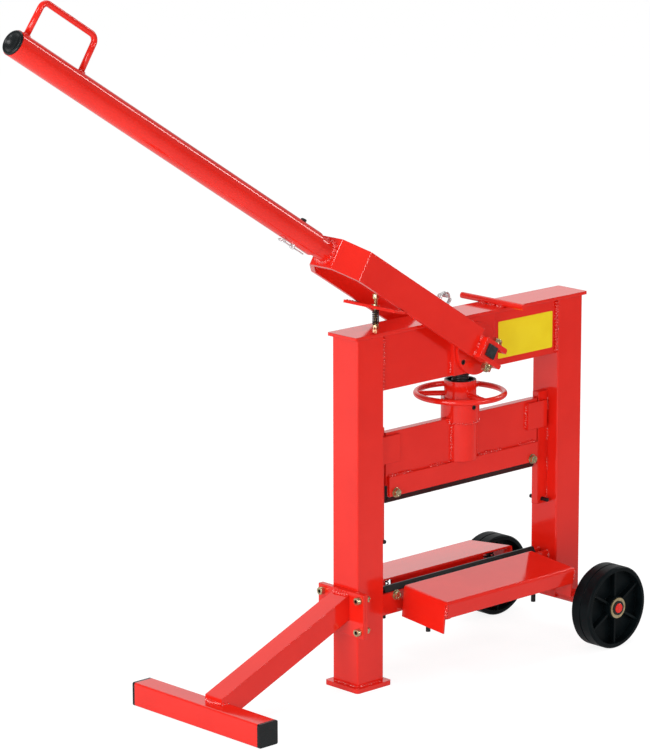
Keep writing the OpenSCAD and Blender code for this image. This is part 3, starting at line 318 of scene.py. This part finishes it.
for tableName, face in (("front", -1), ("rear", 1)):
    coils = [springGrid(tableSpring, hand * tableSpring["x"], face * tableSpring["y"]) for hand in signs]
    piece = makePiece(tableName + "TableSprings", coils, "frame", "springSteel",
                      [tableName + "_table_springs"])
    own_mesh(piece)
piece = makePiece("bufferSpring", [springGrid(bufferSpring, bufferSpring["x"], bufferSpring["y"])], "lever_arm",
                  "springSteel", ["buffer_spring"])
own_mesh(piece)

# split ring: two turns of round wire that lie side by side, narrowed at the wire's ends
splitRing = dict(inner=18.0, wire=3.6, gap=0.06, turns=2, x=-23.3, y=15.04, z=628.2, steps=64, sides=14,
                 tip=0.55, widen=60)


def splitRingGrid(spec):  # a helix along Y
    share = np.linspace(0, 1, spec["turns"] * spec["steps"] + 1)
    angle = 2 * np.pi * spec["turns"] * share
    mid = (spec["inner"] + spec["wire"]) / 2
    length = spec["turns"] * (spec["wire"] + spec["gap"])
    path = np.stack([spec["x"] + mid * np.cos(angle), spec["y"] + length / 2 - length * share,
                     spec["z"] + mid * np.sin(angle)], 1)
    lean = np.stack([np.cos(angle), 0 * angle, np.sin(angle)], 1)
    taper = np.clip(np.minimum(share, 1 - share) * spec["widen"], spec["tip"], 1) * spec["wire"] / 2
    return sweep(path, lean, taper, taper, spec["sides"])


makePiece("splitRing", [splitRingGrid(splitRing)], "hanging_ring", "brightZinc", ["split_ring"])
print("stage 3: springs and ring")

# weld beads: each row is a start, an end, the way the bead faces, its width and its height
weldShape = dict(step=0.8, ripple=6.0, rippleDepth=0.36, swell=7.3, swellDepth=0.12, wander=0.5, wanderLong=5.1,
                 endShare=0.8, endLeast=0.08, sides=10)


def beadGrid(path, lean, wide, tall, seed):  # an ellipse along the seam, swelling at each ripple, wandering a little
    steps = np.linalg.norm(np.diff(path, axis=0), axis=1)
    length = np.concatenate([[0], np.cumsum(steps)])
    shift = np.random.default_rng(seed).uniform(0, 2 * np.pi, 3)
    swell = 1 + weldShape["rippleDepth"] * np.cos(2 * np.pi * length / weldShape["ripple"] + shift[0])
    swell *= 1 + weldShape["swellDepth"] * np.sin(length / weldShape["swell"] + shift[1])
    fromEnd = np.minimum(length, length[-1] - length) / (weldShape["endShare"] * wide)
    ends = np.clip(fromEnd, weldShape["endLeast"], 1) ** 0.5
    across = pathAxes(path, lean)[1]
    path = path + (weldShape["wander"] * np.sin(length / weldShape["wanderLong"] + shift[2]))[:, None] * across
    return sweep(path, lean, wide * swell * ends, tall * swell * ends, weldShape["sides"])


def straightBead(start, end, lean, wide, tall, seed):
    start, end = np.array(start, float), np.array(end, float)
    count = max(int(np.linalg.norm(end - start) / weldShape["step"]), 6)
    path = start + (end - start) * np.linspace(0, 1, count)[:, None]
    return beadGrid(path, np.broadcast_to(np.array(lean, float), path.shape), wide, tall, seed)


def roundBead(centre, side, other, lean, radius, wide, tall, seed, arc=(0, 354)):  # round an arc, in degrees
    count = max(int(np.radians(arc[1] - arc[0]) * radius / weldShape["step"]), 16)
    turn = np.radians(np.linspace(*arc, count))[:, None]
    spoke = np.cos(turn) * np.array(side, float) + np.sin(turn) * np.array(other, float)
    return beadGrid(np.array(centre, float) + radius * spoke, spoke + np.array(lean, float), wide, tall, seed)


frameBeads = [
    # beam plates and housing against the columns and the cap
    *[((hand * 208, face * 26.6, 507), (hand * 208, face * 26.6, 597), (-hand, face, 0), 3.2, 2.6)
      for hand, face in corners],
    *[((hand * 49, face * 25, low), (hand * 49, face * 25, high), (hand, face, 0), 2.4, 1.8)
      for hand, face in corners for low, high in ((510, 532), (566, 594))],
    *[((x, face * 25, 599.5), (x + 7, face * 25, 599.5), (0, face, -1), 1.8, 1.5)
      for x in (54, -120, 150) for face in signs],
    *[((hand * 240 - 14, face * 30, 599.7), (hand * 240 + 6, face * 30, 599.7), (0, face, -1), 1.6, 1.3)
      for hand, face in corners],
    # stop rod on the cap
    *[((78 + hand * 3.6, low, 606.3), (78 + hand * 3.6, high, 606.3), (hand * 0.6, 0, 0.8), 4.0, 3.2)
      for hand in signs for low, high in ((-29, -12), (-9, 8), (12, 29))],
    # guide rails on the columns
    *[((hand * 210, face * 6.6, low), (hand * 210, face * 6.6, low + 24), (-hand, face, 0), 1.9, 1.5)
      for hand, face in corners for low in (240, 292, 346, 400)],
    # lower bars at the columns
    *[((hand * 210, face * 13, 116), (hand * 210, face * 13, 147), (-hand, face, 0), 2.6, 2.0)
      for hand, face in corners],
    *[((hand * 209.4, face * 13, 149), (hand * 209.4, face * 7.5, 149), (-hand, 0, 1), 2.6, 2.0)
      for hand, face in corners],
    # table supports on the lower bars
    *[((hand * 128.5 - 13, face * 13, 119), (hand * 128.5 + 13, face * 13, 119), (0, face, 1), 2.0, 1.6)
      for hand, face in corners],
    # base plate round the left column
    *[((-264, face * 30, 8), (-216, face * 30, 8), (0, face, 1), 2.4, 1.8) for face in signs],
    *[((x, -24, 8), (x, 24, 8), (lean, 0, 1), 2.4, 1.8) for x, lean in ((-270, -1), (-210, 1))],
    # flange on the column, strut on its plate and on the crossbar
    *[((-270, face * 28, low), (-270, face * 28, low + 28), (1, face, 0), 2.6, 2.0)
      for face in signs for low in (102, 141)],
    ((-280, -19, 168), (-280, 19, 168), (-1, 0, 1), 5.2, 4.2),
    ((-280, -19, 125), (-280, 19, 125), (-1, 0, -1), 3.6, 2.8),
    ((-565, -19.5, 41.6), (-565, 19.5, 41.6), (-1, 0, 0.8), 3.4, 2.6),
    *[((-564, face * 20, 40.6), (-549, face * 20, 40.6), (0, face, 1), 2.6, 2.0) for face in signs],
    *[((-548, face * 20, 16), (-548, face * 20, 39), (1, face, 0), 2.4, 1.8) for face in signs],
]
frameSeams = [straightBead(*row, seed) for seed, row in enumerate(frameBeads)]
hookSeam = dict(centre=(-23.3, 30, 605.6), radius=3.2, wide=1.4, tall=1.1, seed=201)
frameSeams.append(roundBead(side=xWay, other=yWay, lean=zWay, **hookSeam))
axleSeam = dict(radius=12.4, wide=2.0, tall=1.6, arc=(0, 180))  # over the upper half only
frameSeams += [roundBead((226.1, face * 30, 72.5), xWay, zWay, face * yWay, seed=202 + face, **axleSeam)
               for face in signs]
makePiece("frameWelds", frameSeams, "frame", "weldedRed")

carrierBeads = [
    # clamp bars, guide ears, tube and sleeve on the carrier plate
    *[((low, face * 7.5, 350), (high, face * 7.5, 350), (0, face, 1), 3.4, 2.8)
      for face in signs for low, high in ((-178, -122), (-81, -46), (35, 95), (136, 177))],
    *[((hand * 155, face * 7, 376), (hand * 155, face * 7, 419), (-hand, face, 0), 2.4, 1.9)
      for hand, face in corners],
    *[((hand * 28.2, face * 7, 353), (hand * 28.2, face * 7, 414), (hand, face, 0), 2.2, 1.8)
      for hand, face in corners],
    *[((hand * 32.3, face * 7, 418), (hand * 32.3, face * 7, 426), (hand, face, 0), 2.2, 1.8)
      for hand, face in corners],
]
carrierSeams = [straightBead(*row, 300 + seed) for seed, row in enumerate(carrierBeads)]
sleeveLong = 40.0
sleeveSeam = dict(radius=32.4, wide=1.7, tall=1.4, seed=330)  # round the foot of the sleeve that carries the handwheel
sleeveFoot = (0, 0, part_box("carrier_tube")[1][2] / mm - sleeveLong)
carrierSeams.append(roundBead(sleeveFoot, xWay, yWay, -0.5 * zWay, **sleeveSeam))
makePiece("carrierWelds", carrierSeams, "blade_carrier", "weldedRed")

tableCorner = dict(y=25.0, z=161.0, tilt=5.6, x=154.9, deep=100.4, high=-3.0, low=-26.5, wide=2.5, tall=2.5)


def cornerBead(spec, hand, face, seed):  # down the open corner of a table, square to its sloping top
    lean = np.radians(spec["tilt"])
    outwards = np.array([0, face * np.cos(lean), -np.sin(lean)])
    upwards = np.array([0, face * np.sin(lean), np.cos(lean)])
    corner = np.array([hand * spec["x"], face * spec["y"], spec["z"]]) + spec["deep"] * outwards
    return straightBead(corner + spec["high"] * upwards, corner + spec["low"] * upwards, (hand, face, 0),
                        spec["wide"], spec["tall"], seed)


for tableName, face in (("front", -1), ("rear", 1)):
    seams = [cornerBead(tableCorner, hand, face, 500 + hand + 5 * face) for hand in signs]
    makePiece(tableName + "TableWelds", seams, "table_" + tableName, "weldedRed")

leverBeads = [
    # saddles on the yoke, and the tab plate under it
    *[(leverPoint(18.95, face * 57, low), leverPoint(18.95, face * 57, low + 11), leverAlong + face * yWay, 3.4, 2.8)
      for face in signs for low in (-17, -4, 9)],
    *[((-193, face * 58, 641), (-214, face * 58, 646.5), (0.2, face, 0.8), 2.0, 1.6) for face in signs],
]
leverSeams = [straightBead(*row, 400 + seed) for seed, row in enumerate(leverBeads)]
stubSeam = dict(radius=18.8, wide=4.4, tall=3.6, seed=451)
leverSeams.append(roundBead(leverPoint(372.5, 0, 5), leverAcross, yWay, leverAlong, **stubSeam))
stirrupFoot = dict(places=(985.0, 1107.0), ring=5.6, tubeR=21.0, tubeM=5.0, wide=2.0, tall=1.6, closed=0.985, steps=60)


def footBead(spec, s, seed):  # a ring round the foot that follows the tube's curve
    turn = np.linspace(0, 2 * np.pi * spec["closed"], spec["steps"])
    y, ds = spec["ring"] * np.sin(turn), spec["ring"] * np.cos(turn)
    path = leverPoint(s + ds, y, spec["tubeM"] + np.sqrt(spec["tubeR"] ** 2 - y ** 2))
    lean = ds[:, None] * leverAlong + y[:, None] * yWay + spec["ring"] * leverAcross
    return beadGrid(path, lean, spec["wide"], spec["tall"], seed)


leverSeams += [footBead(stirrupFoot, s, 460 + seed) for seed, s in enumerate(stirrupFoot["places"])]
makePiece("leverWelds", leverSeams, "lever_arm", "weldedRed")
print("stage 4: welds")

# spindle with a cut thread
threadWave = dict(flat=1.5, steep=4.0)
spindleThread = dict(root=13.3, crest=15.0, pitch=6.0, low=352.0, high=504.5, rows=14, sides=72)


def threadGrid(spec, origin, axis, side):  # radius is a flat-topped wave of place over pitch less the turn's share
    rows = int((spec["high"] - spec["low"]) / spec["pitch"] * spec["rows"])
    along = np.linspace(spec["low"], spec["high"], rows)
    turn = np.linspace(0, 1, spec["sides"], endpoint=False)
    phase = (along[:, None] / spec["pitch"] - turn) % 1
    wave = np.clip(threadWave["flat"] - threadWave["steep"] * np.abs(phase - 0.5), 0, 1)
    radius = spec["root"] + (spec["crest"] - spec["root"]) * wave
    radius[0], radius[-1] = spec["root"], spec["root"]
    return around(along, radius, origin, axis, side)


makePiece("threadedSpindle", [threadGrid(spindleThread, (0, 0, 0), zWay, xWay)], "press_plunger", "oiledSteel",
          ["spindle"])

# end plug of the lever: a rounded rim round a bowl
endPlug = dict(start=1098.0, tubeEnd=1123.0, end=1126.8, inner=18.0, outer=20.4, crown=17.6, bowl=15.6, depth=6.0,
               tubeM=5.0, lip=0.6, taper=2.0, taperLong=3.0, centre=0.02, rimSteps=10, bowlSteps=16)


def endPlugRows(spec):  # a quarter ellipse up the rim, then a bowl whose depth falls with radius squared
    stem = [(spec["start"], spec["inner"] - spec["taper"]), (spec["start"] + spec["taperLong"], spec["inner"]),
            (spec["tubeEnd"], spec["inner"])]
    arc = np.linspace(0, np.pi / 2, spec["rimSteps"])
    rim = np.stack([spec["tubeEnd"] + (spec["end"] - spec["tubeEnd"]) * np.sin(arc),
                    spec["crown"] + (spec["outer"] - spec["crown"]) * np.cos(arc)], 1)
    share = np.linspace(1, spec["centre"], spec["bowlSteps"])
    floor = spec["end"] - spec["lip"] - (spec["depth"] - spec["lip"]) * (1 - share ** 2)
    return np.concatenate([stem, rim, np.stack([floor, spec["bowl"] * share], 1)])


plug = turned(endPlugRows(endPlug), leverPoint(0, 0, endPlug["tubeM"]), leverAlong, yWay)
makePiece("dishedEndPlug", [plug], "lever_arm", "plugPlastic", ["lever_end_plug"])

# lever tube, its stirrup and its locking pin
leverTube = dict(start=405.0, end=1123.0, inner=18.2, outer=21.0, m=5.0, sides=128)
tube = turned(ringRows(leverTube), leverPoint(0, 0, leverTube["m"]), leverAlong, yWay, sides=leverTube["sides"])
makePiece("smoothTube", [tube], "lever_arm", "roundRed", ["lever_tube"], crease=30)
stirrup = dict(feet=(985.0, 1107.0), lean=(-0.5, -4.0), low=24.0, high=85.0, bend=12.0, rod=10.0, steps=24, sides=28)


def bentPath(points, bend, count):  # straight runs joined by arcs, each the rational curve that makes a true circle
    runs = [points[:1]]
    t = np.linspace(0, 1, count)[:, None]
    for before, corner, after in zip(points, points[1:], points[2:]):
        back, ahead = unit(before - corner), unit(after - corner)
        weight = np.sqrt((1 - back @ ahead) / 2)
        reach = bend * np.sqrt(1 - weight ** 2) / weight
        shares = (1 - t) ** 2, 2 * weight * t * (1 - t), t ** 2
        start, stop = corner + reach * back, corner + reach * ahead
        runs.append((shares[0] * start + shares[1] * corner + shares[2] * stop) / sum(shares))
    return np.concatenate(runs + [points[-1:]])


along = np.array(stirrup["feet"])[[0, 0, 1, 1]] + np.array([0, *stirrup["lean"], 0])
across = np.array([stirrup["low"], stirrup["high"], stirrup["high"], stirrup["low"]])
path = bentPath(leverPoint(along, 0, across), stirrup["bend"], stirrup["steps"])
rod = sweep(path, np.broadcast_to(yWay, path.shape), stirrup["rod"] / 2, stirrup["rod"] / 2, stirrup["sides"])
makePiece("stirrupRod", [rod], "lever_arm", "roundRed", ["stirrup_handle"])

lockPin = dict(s=445.0, radius=4.0, low=-23.0, seat=26.05, headRadius=5.0, top=30.05, soft=0.9)
pinFoot = leverPoint(lockPin["s"], 0, 0)
rows = [(lockPin["low"], lockPin["radius"] - lockPin["soft"]), (lockPin["low"] + lockPin["soft"], lockPin["radius"]),
        (lockPin["seat"], lockPin["radius"])]
makePiece("lockPinShank", [turned(rows, pinFoot, leverAcross, yWay)], "lever_arm", "brightZinc",
          ["lock_pin"], crease=30)
rows = [(lockPin["seat"], lockPin["headRadius"]), (lockPin["top"] - lockPin["soft"], lockPin["headRadius"]),
        (lockPin["top"], lockPin["headRadius"] - lockPin["soft"])]
makePiece("lockPinHead", [turned(rows, pinFoot, leverAcross, yWay)], "lever_arm", "blackenedSteel",
          crease=30)

hairClip = dict(m=-20.0, back=-28.0, fore=20.0, ring=6.0, radius=1.25, overlap=0.6, steps=17, sides=16)
turn = np.linspace(0, 2 * np.pi, hairClip["steps"])
rows = np.stack([hairClip["radius"] * np.sin(turn), hairClip["ring"] - hairClip["radius"] * np.cos(turn)], 1)
eyeCentre = leverPoint(lockPin["s"] + hairClip["fore"] + hairClip["ring"], 0, hairClip["m"])
ends = [(hairClip["back"], hairClip["radius"]), (hairClip["fore"] + hairClip["overlap"], hairClip["radius"])]
legFoot = leverPoint(lockPin["s"], 0, hairClip["m"])
clip = [turned(rows, eyeCentre, leverAcross, yWay), turned(ends, legFoot, leverAlong, yWay, sides=hairClip["sides"])]
makePiece("hairClip", clip, "lever_arm", "brightZinc", ["lock_clip"], crease=30)
print("stage 5: spindle, plug, tube, stirrup and pin")

# bolts: each stack is worked out along its own axis, with chamfered hexagons and a cut thread at the tail
bladeBolt = dict(flats=13.0, head=5.3, nut=6.5, tail=2.0, thread=8.0, pitch=1.25, washer=17.0, washerThick=1.6,
                 half=13.0)
saddleBolt = dict(flats=16.0, head=7.0, nut=8.0, tail=2.0, thread=10.0, pitch=1.5, washer=20.0, washerThick=2.5,
                  half=18.95, s=-18.45, y=58.0)
socketBolt = dict(flats=13.0, nut=6.5, tail=4.0, thread=8.0, pitch=1.25, headWide=13.0, head=8.0, socket=6.0,
                  socketDeep=4.0, washer=17.0, washerThick=1.6, face=280.0, back=270.0, y=44.0, z=136.0, rise=27.0,
                  soft=0.9, softer=0.3)
stopBolt = dict(flats=10.0, nut=6.5, head=8.0, thread=6.0, pitch=1.0, low=605.6, neck=655.7, x=-200.0)
hexShape = dict(corner=0.62, chamfer=0.13, top=0.47, dish=0.34, dishDeep=0.07, soft=0.25)
tailShape = dict(cut=0.6, rows=8, sides=24, sunk=1.0)


def hexRows(start, height, flats, dished):  # full corners between two chamfered ends, and a shallow dish on a head
    chamfer, top = hexShape["chamfer"] * flats / 2, hexShape["top"] * flats
    corner, end = hexShape["corner"] * flats, start + height
    rows = [(start, top), (start + chamfer, corner), (end - chamfer, corner), (end, top)]
    if dished:
        deep = hexShape["dishDeep"] * flats
        rows += [(end, hexShape["dish"] * flats), (end - deep, hexShape["dish"] * flats - deep)]
    return rows


def washerRows(start, thick, wide):  # a disc with softened edges
    soft, end = hexShape["soft"], start + thick
    return [(start, wide / 2 - soft), (start + soft, wide / 2), (end - soft, wide / 2), (end, wide / 2 - soft)]


def tailGrid(spec, low, high, origin, axis, side):
    thread = dict(root=spec["thread"] / 2 - tailShape["cut"] * spec["pitch"], crest=spec["thread"] / 2,
                  pitch=spec["pitch"], low=low, high=high, rows=tailShape["rows"], sides=tailShape["sides"])
    return threadGrid(thread, origin, axis, side)


def clampBolt(spec, origin, axis, side):  # head at the far end of the axis, nut and tail at the near end
    half, seat = spec["half"], spec["half"] + spec["washerThick"]
    nutEnd = -seat - spec["nut"]
    return [turned(washerRows(half, spec["washerThick"], spec["washer"]), origin, axis, side),
            turned(hexRows(seat, spec["head"], spec["flats"], True), origin, axis, side, spec["flats"]),
            turned(washerRows(-seat, spec["washerThick"], spec["washer"]), origin, axis, side),
            turned(hexRows(nutEnd, spec["nut"], spec["flats"], False), origin, axis, side, spec["flats"]),
            tailGrid(spec, nutEnd - spec["tail"], nutEnd + tailShape["sunk"], origin, axis, side)]


for name, body, x, z, node in (("upperBladeBolts", "blade_carrier", 165.0, 322.0, "upper_blade_bolts"),
                               ("lowerBladeBolts", "frame", 164.0, 144.0, "lower_blade_bolts")):
    stacks = [grid for hand in signs for grid in clampBolt(bladeBolt, (hand * x, 0, z), -yWay, zWay)]
    makePiece(name, stacks, body, "yellowZinc", [node], crease=30)
places = [leverPoint(saddleBolt["s"], face * saddleBolt["y"], 0) for face in signs]
stacks = [grid for place in places for grid in clampBolt(saddleBolt, place, leverAcross, yWay)]
makePiece("saddleBolts", stacks, "lever_arm", "yellowZinc", ["saddle_bolts"], crease=30)


def socketHead(spec, origin, axis, side):  # round head with a hexagon sunk in its end
    wide, end = spec["headWide"] / 2, spec["face"] + spec["head"]
    rows = [(spec["face"], wide), (end - spec["soft"], wide), (end - spec["softer"], wide - spec["softer"]),
            (end, wide - spec["soft"]), (end, spec["socket"]), (end - spec["socketDeep"], spec["socket"])]
    return turned(rows, origin, axis, side, [np.inf] * 4 + [spec["socket"]] * 2)


# painted shade: black sheets in the bolt sockets stand in for the darkness of the deep socket
socketShadeSheet = dict(back=0.3, floor=0.35, skin=0.3, clear=0.02)


def socketShadeCup(spec, shadeSheet, origin, axis, side):  # thin black sheet on the socket's walls and floor, painted shade in the socket
    end = spec["face"] + spec["head"] - shadeSheet["back"]
    floor, wide = end - spec["socketDeep"] + shadeSheet["floor"], spec["socket"]
    rows = [(floor, wide), (end, wide), (end, wide), (floor + shadeSheet["skin"], wide)]
    return turned(rows, origin, axis, side, [wide - shadeSheet["clear"]] * 2 + [wide - shadeSheet["skin"]] * 2)


footBolts = [(0, face * socketBolt["y"], socketBolt["z"] + up * socketBolt["rise"]) for face in signs for up in signs]
nutEnd = socketBolt["back"] - socketBolt["washerThick"] - socketBolt["nut"]
washer = washerRows(nutEnd + socketBolt["nut"], socketBolt["washerThick"], socketBolt["washer"])
nut = hexRows(nutEnd, socketBolt["nut"], socketBolt["flats"], False)
tail = nutEnd - socketBolt["tail"], nutEnd + tailShape["sunk"]
stacks = [socketHead(socketBolt, place, -xWay, zWay) for place in footBolts]
stacks += [turned(washer, place, -xWay, zWay) for place in footBolts]
stacks += [turned(nut, place, -xWay, zWay, socketBolt["flats"]) for place in footBolts]
stacks += [tailGrid(socketBolt, *tail, place, -xWay, zWay) for place in footBolts]
makePiece("outriggerBolts", stacks, "frame", "yellowZinc", ["outrigger_bolts"], crease=30)
# black cups that paint the shade inside each socket
shadeCups = [socketShadeCup(socketBolt, socketShadeSheet, place, -xWay, zWay) for place in footBolts]
makePiece("socketLinings", shadeCups, "frame", "blackenedSteel", crease=30)

place, flats = (stopBolt["x"], 0, 0), stopBolt["flats"]
tail = stopBolt["low"] + tailShape["sunk"], stopBolt["neck"] + tailShape["sunk"]
stacks = [turned(hexRows(stopBolt["low"], stopBolt["nut"], flats, False), place, zWay, xWay, flats),
          turned(hexRows(stopBolt["neck"], stopBolt["head"], flats, True), place, zWay, xWay, flats),
          tailGrid(stopBolt, *tail, place, zWay, xWay)]
makePiece("stopBolt", stacks, "buffer", "yellowZinc", ["buffer_bolt"], crease=30)

# axle with stepped and rounded ends, and its clips
axleShape = dict(x=226.1, z=72.5, mid=12.0, middle=117.2, radius=10.5, clip=163.9, tip=8.5, end=166.6, soft=0.8,
                 chamfer=0.5)
axleClip = dict(start=163.9, end=165.4, inner=8.6, outer=12.5)


def axleRows(spec):  # radius against distance from the middle, the same both ways
    half = [(spec["middle"] - spec["chamfer"], spec["mid"]), (spec["middle"], spec["mid"] - spec["chamfer"]),
            (spec["middle"], spec["radius"]), (spec["clip"], spec["radius"]), (spec["clip"], spec["tip"]),
            (spec["end"] - spec["soft"], spec["tip"]), (spec["end"], spec["tip"] - spec["soft"])]
    return [(-along, radius) for along, radius in half[::-1]] + half


place = (axleShape["x"], 0, axleShape["z"])
makePiece("steppedAxle", [turned(axleRows(axleShape), place, yWay, zWay)], "frame", "roundRed", ["axle"],
          crease=30)
clips = [turned(ringRows(axleClip), place, face * yWay, zWay) for face in signs]
makePiece("axleClips", clips, "frame", "blackenedSteel", ["axle_clips"], crease=30)

# black sheet in the hub's recess and on its rim: painted shade
hubLining = dict(inner=15.6, outer=26.0, wall=22.9, rim=488.25, lip=488.05, floor=470.3, skin=0.3)


def hubShadeRows(spec):  # floor, wall and lip of the recess as one thin closed section, painted shade
    floor, wall = spec["floor"] + spec["skin"], spec["wall"] - spec["skin"]
    return [(spec["floor"], spec["inner"]), (spec["floor"], spec["wall"]), (spec["lip"], spec["wall"]),
            (spec["lip"], spec["outer"]), (spec["rim"], spec["outer"]), (spec["rim"], wall), (floor, wall),
            (floor, spec["inner"]), (spec["floor"], spec["inner"])]


makePiece("hubLining", [turned(hubShadeRows(hubLining), (0, 0, 0), zWay, xWay)], "adjusting_wheel", "blackenedSteel",
          crease=30)
print("stage 6: bolts, axle and hub lining")

# plain yellow plate on the beam
blankPlate = dict(left=65.5, right=199.5, low=516.5, high=580.7, face=-25.0, thick=0.5, corner=2.0, soft=0.15, steps=7)


def plateGrid(spec):  # rounded rectangle as rings: back, front edge, slightly smaller front
    middle = np.array([spec["left"] + spec["right"], spec["low"] + spec["high"]]) / 2
    half = np.array([spec["right"] - spec["left"], spec["high"] - spec["low"]]) / 2
    corner = np.repeat([[1, 1], [-1, 1], [-1, -1], [1, -1]], spec["steps"], 0)
    turn = np.radians(np.concatenate([np.linspace(a, a + 90, spec["steps"]) for a in (0, 90, 180, 270)]))
    rim = np.stack([np.cos(turn), np.sin(turn)], 1)
    rings = []
    for inset, depth in ((0, 0.0), (0, spec["thick"] - spec["soft"]), (spec["soft"], spec["thick"])):
        flat = middle + corner * (half - spec["corner"]) + rim * (spec["corner"] - inset)
        rings.append(np.stack([flat[:, 0], np.full(len(flat), spec["face"] - depth), flat[:, 1]], 1))
    return np.array(rings)[:, ::-1]


makePiece("blankYellowPlate", [plateGrid(blankPlate)], "frame", "yellowPlate", smooth=False)
print("stage 7: plate")

# studio: pale floor, white surroundings and soft lamps, each with its place, size and power
studio = dict(floor=40.0, worldFill=0.47, floorTone=0.25, floorGlow=0.88, bounceTone=0.8, aim=(-0.2, 0, 0.45),
              backWay=(0.50, 0.75, 0.43), sideTone=(0.86, 0.28), backTone=(0.94, 1.0),
              mirrorWay=(-0.86, 0.50, 0.0), mirrorNear=(-2.1, 0.05), mirrorFar=(2.0, 0.75),
              lamps=(("keyLamp", (-4.2, -0.95, 0.95), (3.2, 1.7), 97.0),
                     ("topLamp", (0.6, 1.2, 4.2), (3.0, 3.0), 34.0),
                     ("frontStrip", (0.87, -4.1, 1.35), (2.2, 0.45), 32.0),
                     ("sideBox", (3.2, -0.64, 2.2), (0.40, 1.6), 17.0),
                     ("highBox", (-3.3, 0.07, 3.4), (0.8, 0.8), 28.0)))
white = (1, 1, 1, 1)


def mathNode(tree, operation, first, firstOut, second, secondOut="Value"):
    node = tree.nodes.new("ShaderNodeMath")
    node.operation = operation
    link(tree, first, firstOut, node, 0)
    if isinstance(second, float):
        node.inputs[1].default_value = second
    else:
        link(tree, second, secondOut, node, 1)
    return node


def wayNode(tree, outName, way):  # how far a place or a ray goes along the given way
    coordinates = tree.nodes.new("ShaderNodeTexCoord")
    along = tree.nodes.new("ShaderNodeVectorMath")
    along.operation = "DOT_PRODUCT"
    along.inputs[1].default_value = way
    link(tree, coordinates, outName, along, 0)
    return along


def mixBySight(tree, path, direct, plain, plainOut, seen, seenOut):  # plain for diffuse rays, seen for all others
    pick = tree.nodes.new("ShaderNodeMixShader")
    link(tree, mathNode(tree, "MAXIMUM", direct, "Value", path, "Is Glossy Ray"), "Value", pick, 0)
    link(tree, plain, plainOut, pick, 1)
    link(tree, seen, seenOut, pick, 2)
    return pick


def buildWorld(spec):  # plain fill for diffuse light, white where it is seen, and mirrors find the white behind
    world = bpy.data.worlds.new("paleStudio")
    world.use_nodes = True
    tree = world.node_tree
    fill = tree.nodes["Background"]
    setInputs(fill, {"Color": white, "Strength": spec["worldFill"]})
    seen = tree.nodes.new("ShaderNodeBackground")
    seen.inputs["Color"].default_value = white
    path = tree.nodes.new("ShaderNodeLightPath")
    direct = mathNode(tree, "MAXIMUM", path, "Is Camera Ray", path, "Is Transmission Ray")
    way = wayNode(tree, "Generated", spec["backWay"])
    mirrored = fadeNode(tree, way, "Value", spec["sideTone"], spec["backTone"])
    link(tree, mathNode(tree, "MAXIMUM", direct, "Value", mirrored, "Result"), "Value", seen, "Strength")
    pick = mixBySight(tree, path, direct, fill, "Background", seen, "Background")
    link(tree, pick, "Shader", tree.nodes["World Output"], "Surface")
    scene.world = world


def buildFloor(spec):  # a pale sheet that bounces light, and glows to white where it is seen, fainter in mirrors
    half = spec["floor"]
    mesh = bpy.data.meshes.new("studioFloor")
    mesh.from_pydata([(-half, -half, 0), (half, -half, 0), (half, half, 0), (-half, half, 0)], [], [(0, 1, 2, 3)])
    floor = bpy.data.objects.new("studioFloor", mesh)
    scene.collection.objects.link(floor)
    paper = bpy.data.materials.new("paleFloor")
    paper.use_nodes = True
    mesh.materials.append(paper)
    tree = paper.node_tree
    tree.nodes.remove(tree.nodes["Principled BSDF"])
    path = tree.nodes.new("ShaderNodeLightPath")
    direct = mathNode(tree, "MAXIMUM", path, "Is Camera Ray", path, "Is Transmission Ray")
    bounce = tree.nodes.new("ShaderNodeBsdfDiffuse")
    bounce.inputs["Color"].default_value = (spec["bounceTone"],) * 3 + (1,)
    shade = tree.nodes.new("ShaderNodeBsdfDiffuse")
    shade.inputs["Color"].default_value = (spec["floorTone"],) * 3 + (1,)
    pick = mixBySight(tree, path, direct, bounce, "BSDF", shade, "BSDF")
    way = wayNode(tree, "Object", spec["mirrorWay"])
    mirrored = fadeNode(tree, way, "Value", spec["mirrorNear"], spec["mirrorFar"])
    mirrored = mathNode(tree, "MULTIPLY", path, "Is Glossy Ray", mirrored, "Result")
    plain = mathNode(tree, "MULTIPLY", direct, "Value", spec["floorGlow"])
    glow = tree.nodes.new("ShaderNodeEmission")
    glow.inputs["Color"].default_value = white
    link(tree, mathNode(tree, "ADD", plain, "Value", mirrored), "Value", glow, "Strength")
    both = tree.nodes.new("ShaderNodeAddShader")
    link(tree, pick, "Shader", both, 0)
    link(tree, glow, "Emission", both, 1)
    link(tree, both, "Shader", tree.nodes["Material Output"], "Surface")


def hangLamps(spec):  # rectangular soft boxes that face the middle of the object
    for name, place, size, power in spec["lamps"]:
        lamp = bpy.data.lights.new(name, "AREA")
        lamp.shape = "RECTANGLE"
        lamp.size, lamp.size_y = size
        lamp.energy = power
        holder = bpy.data.objects.new(name, lamp)
        away = unit(np.array(place) - np.array(spec["aim"]))
        side = unit(np.cross(zWay, away))
        holder.matrix_world = standing(side, np.cross(away, side), away, place)
        scene.collection.objects.link(holder)


buildWorld(studio)
buildFloor(studio)
hangLamps(studio)
bpy.context.view_layer.update()
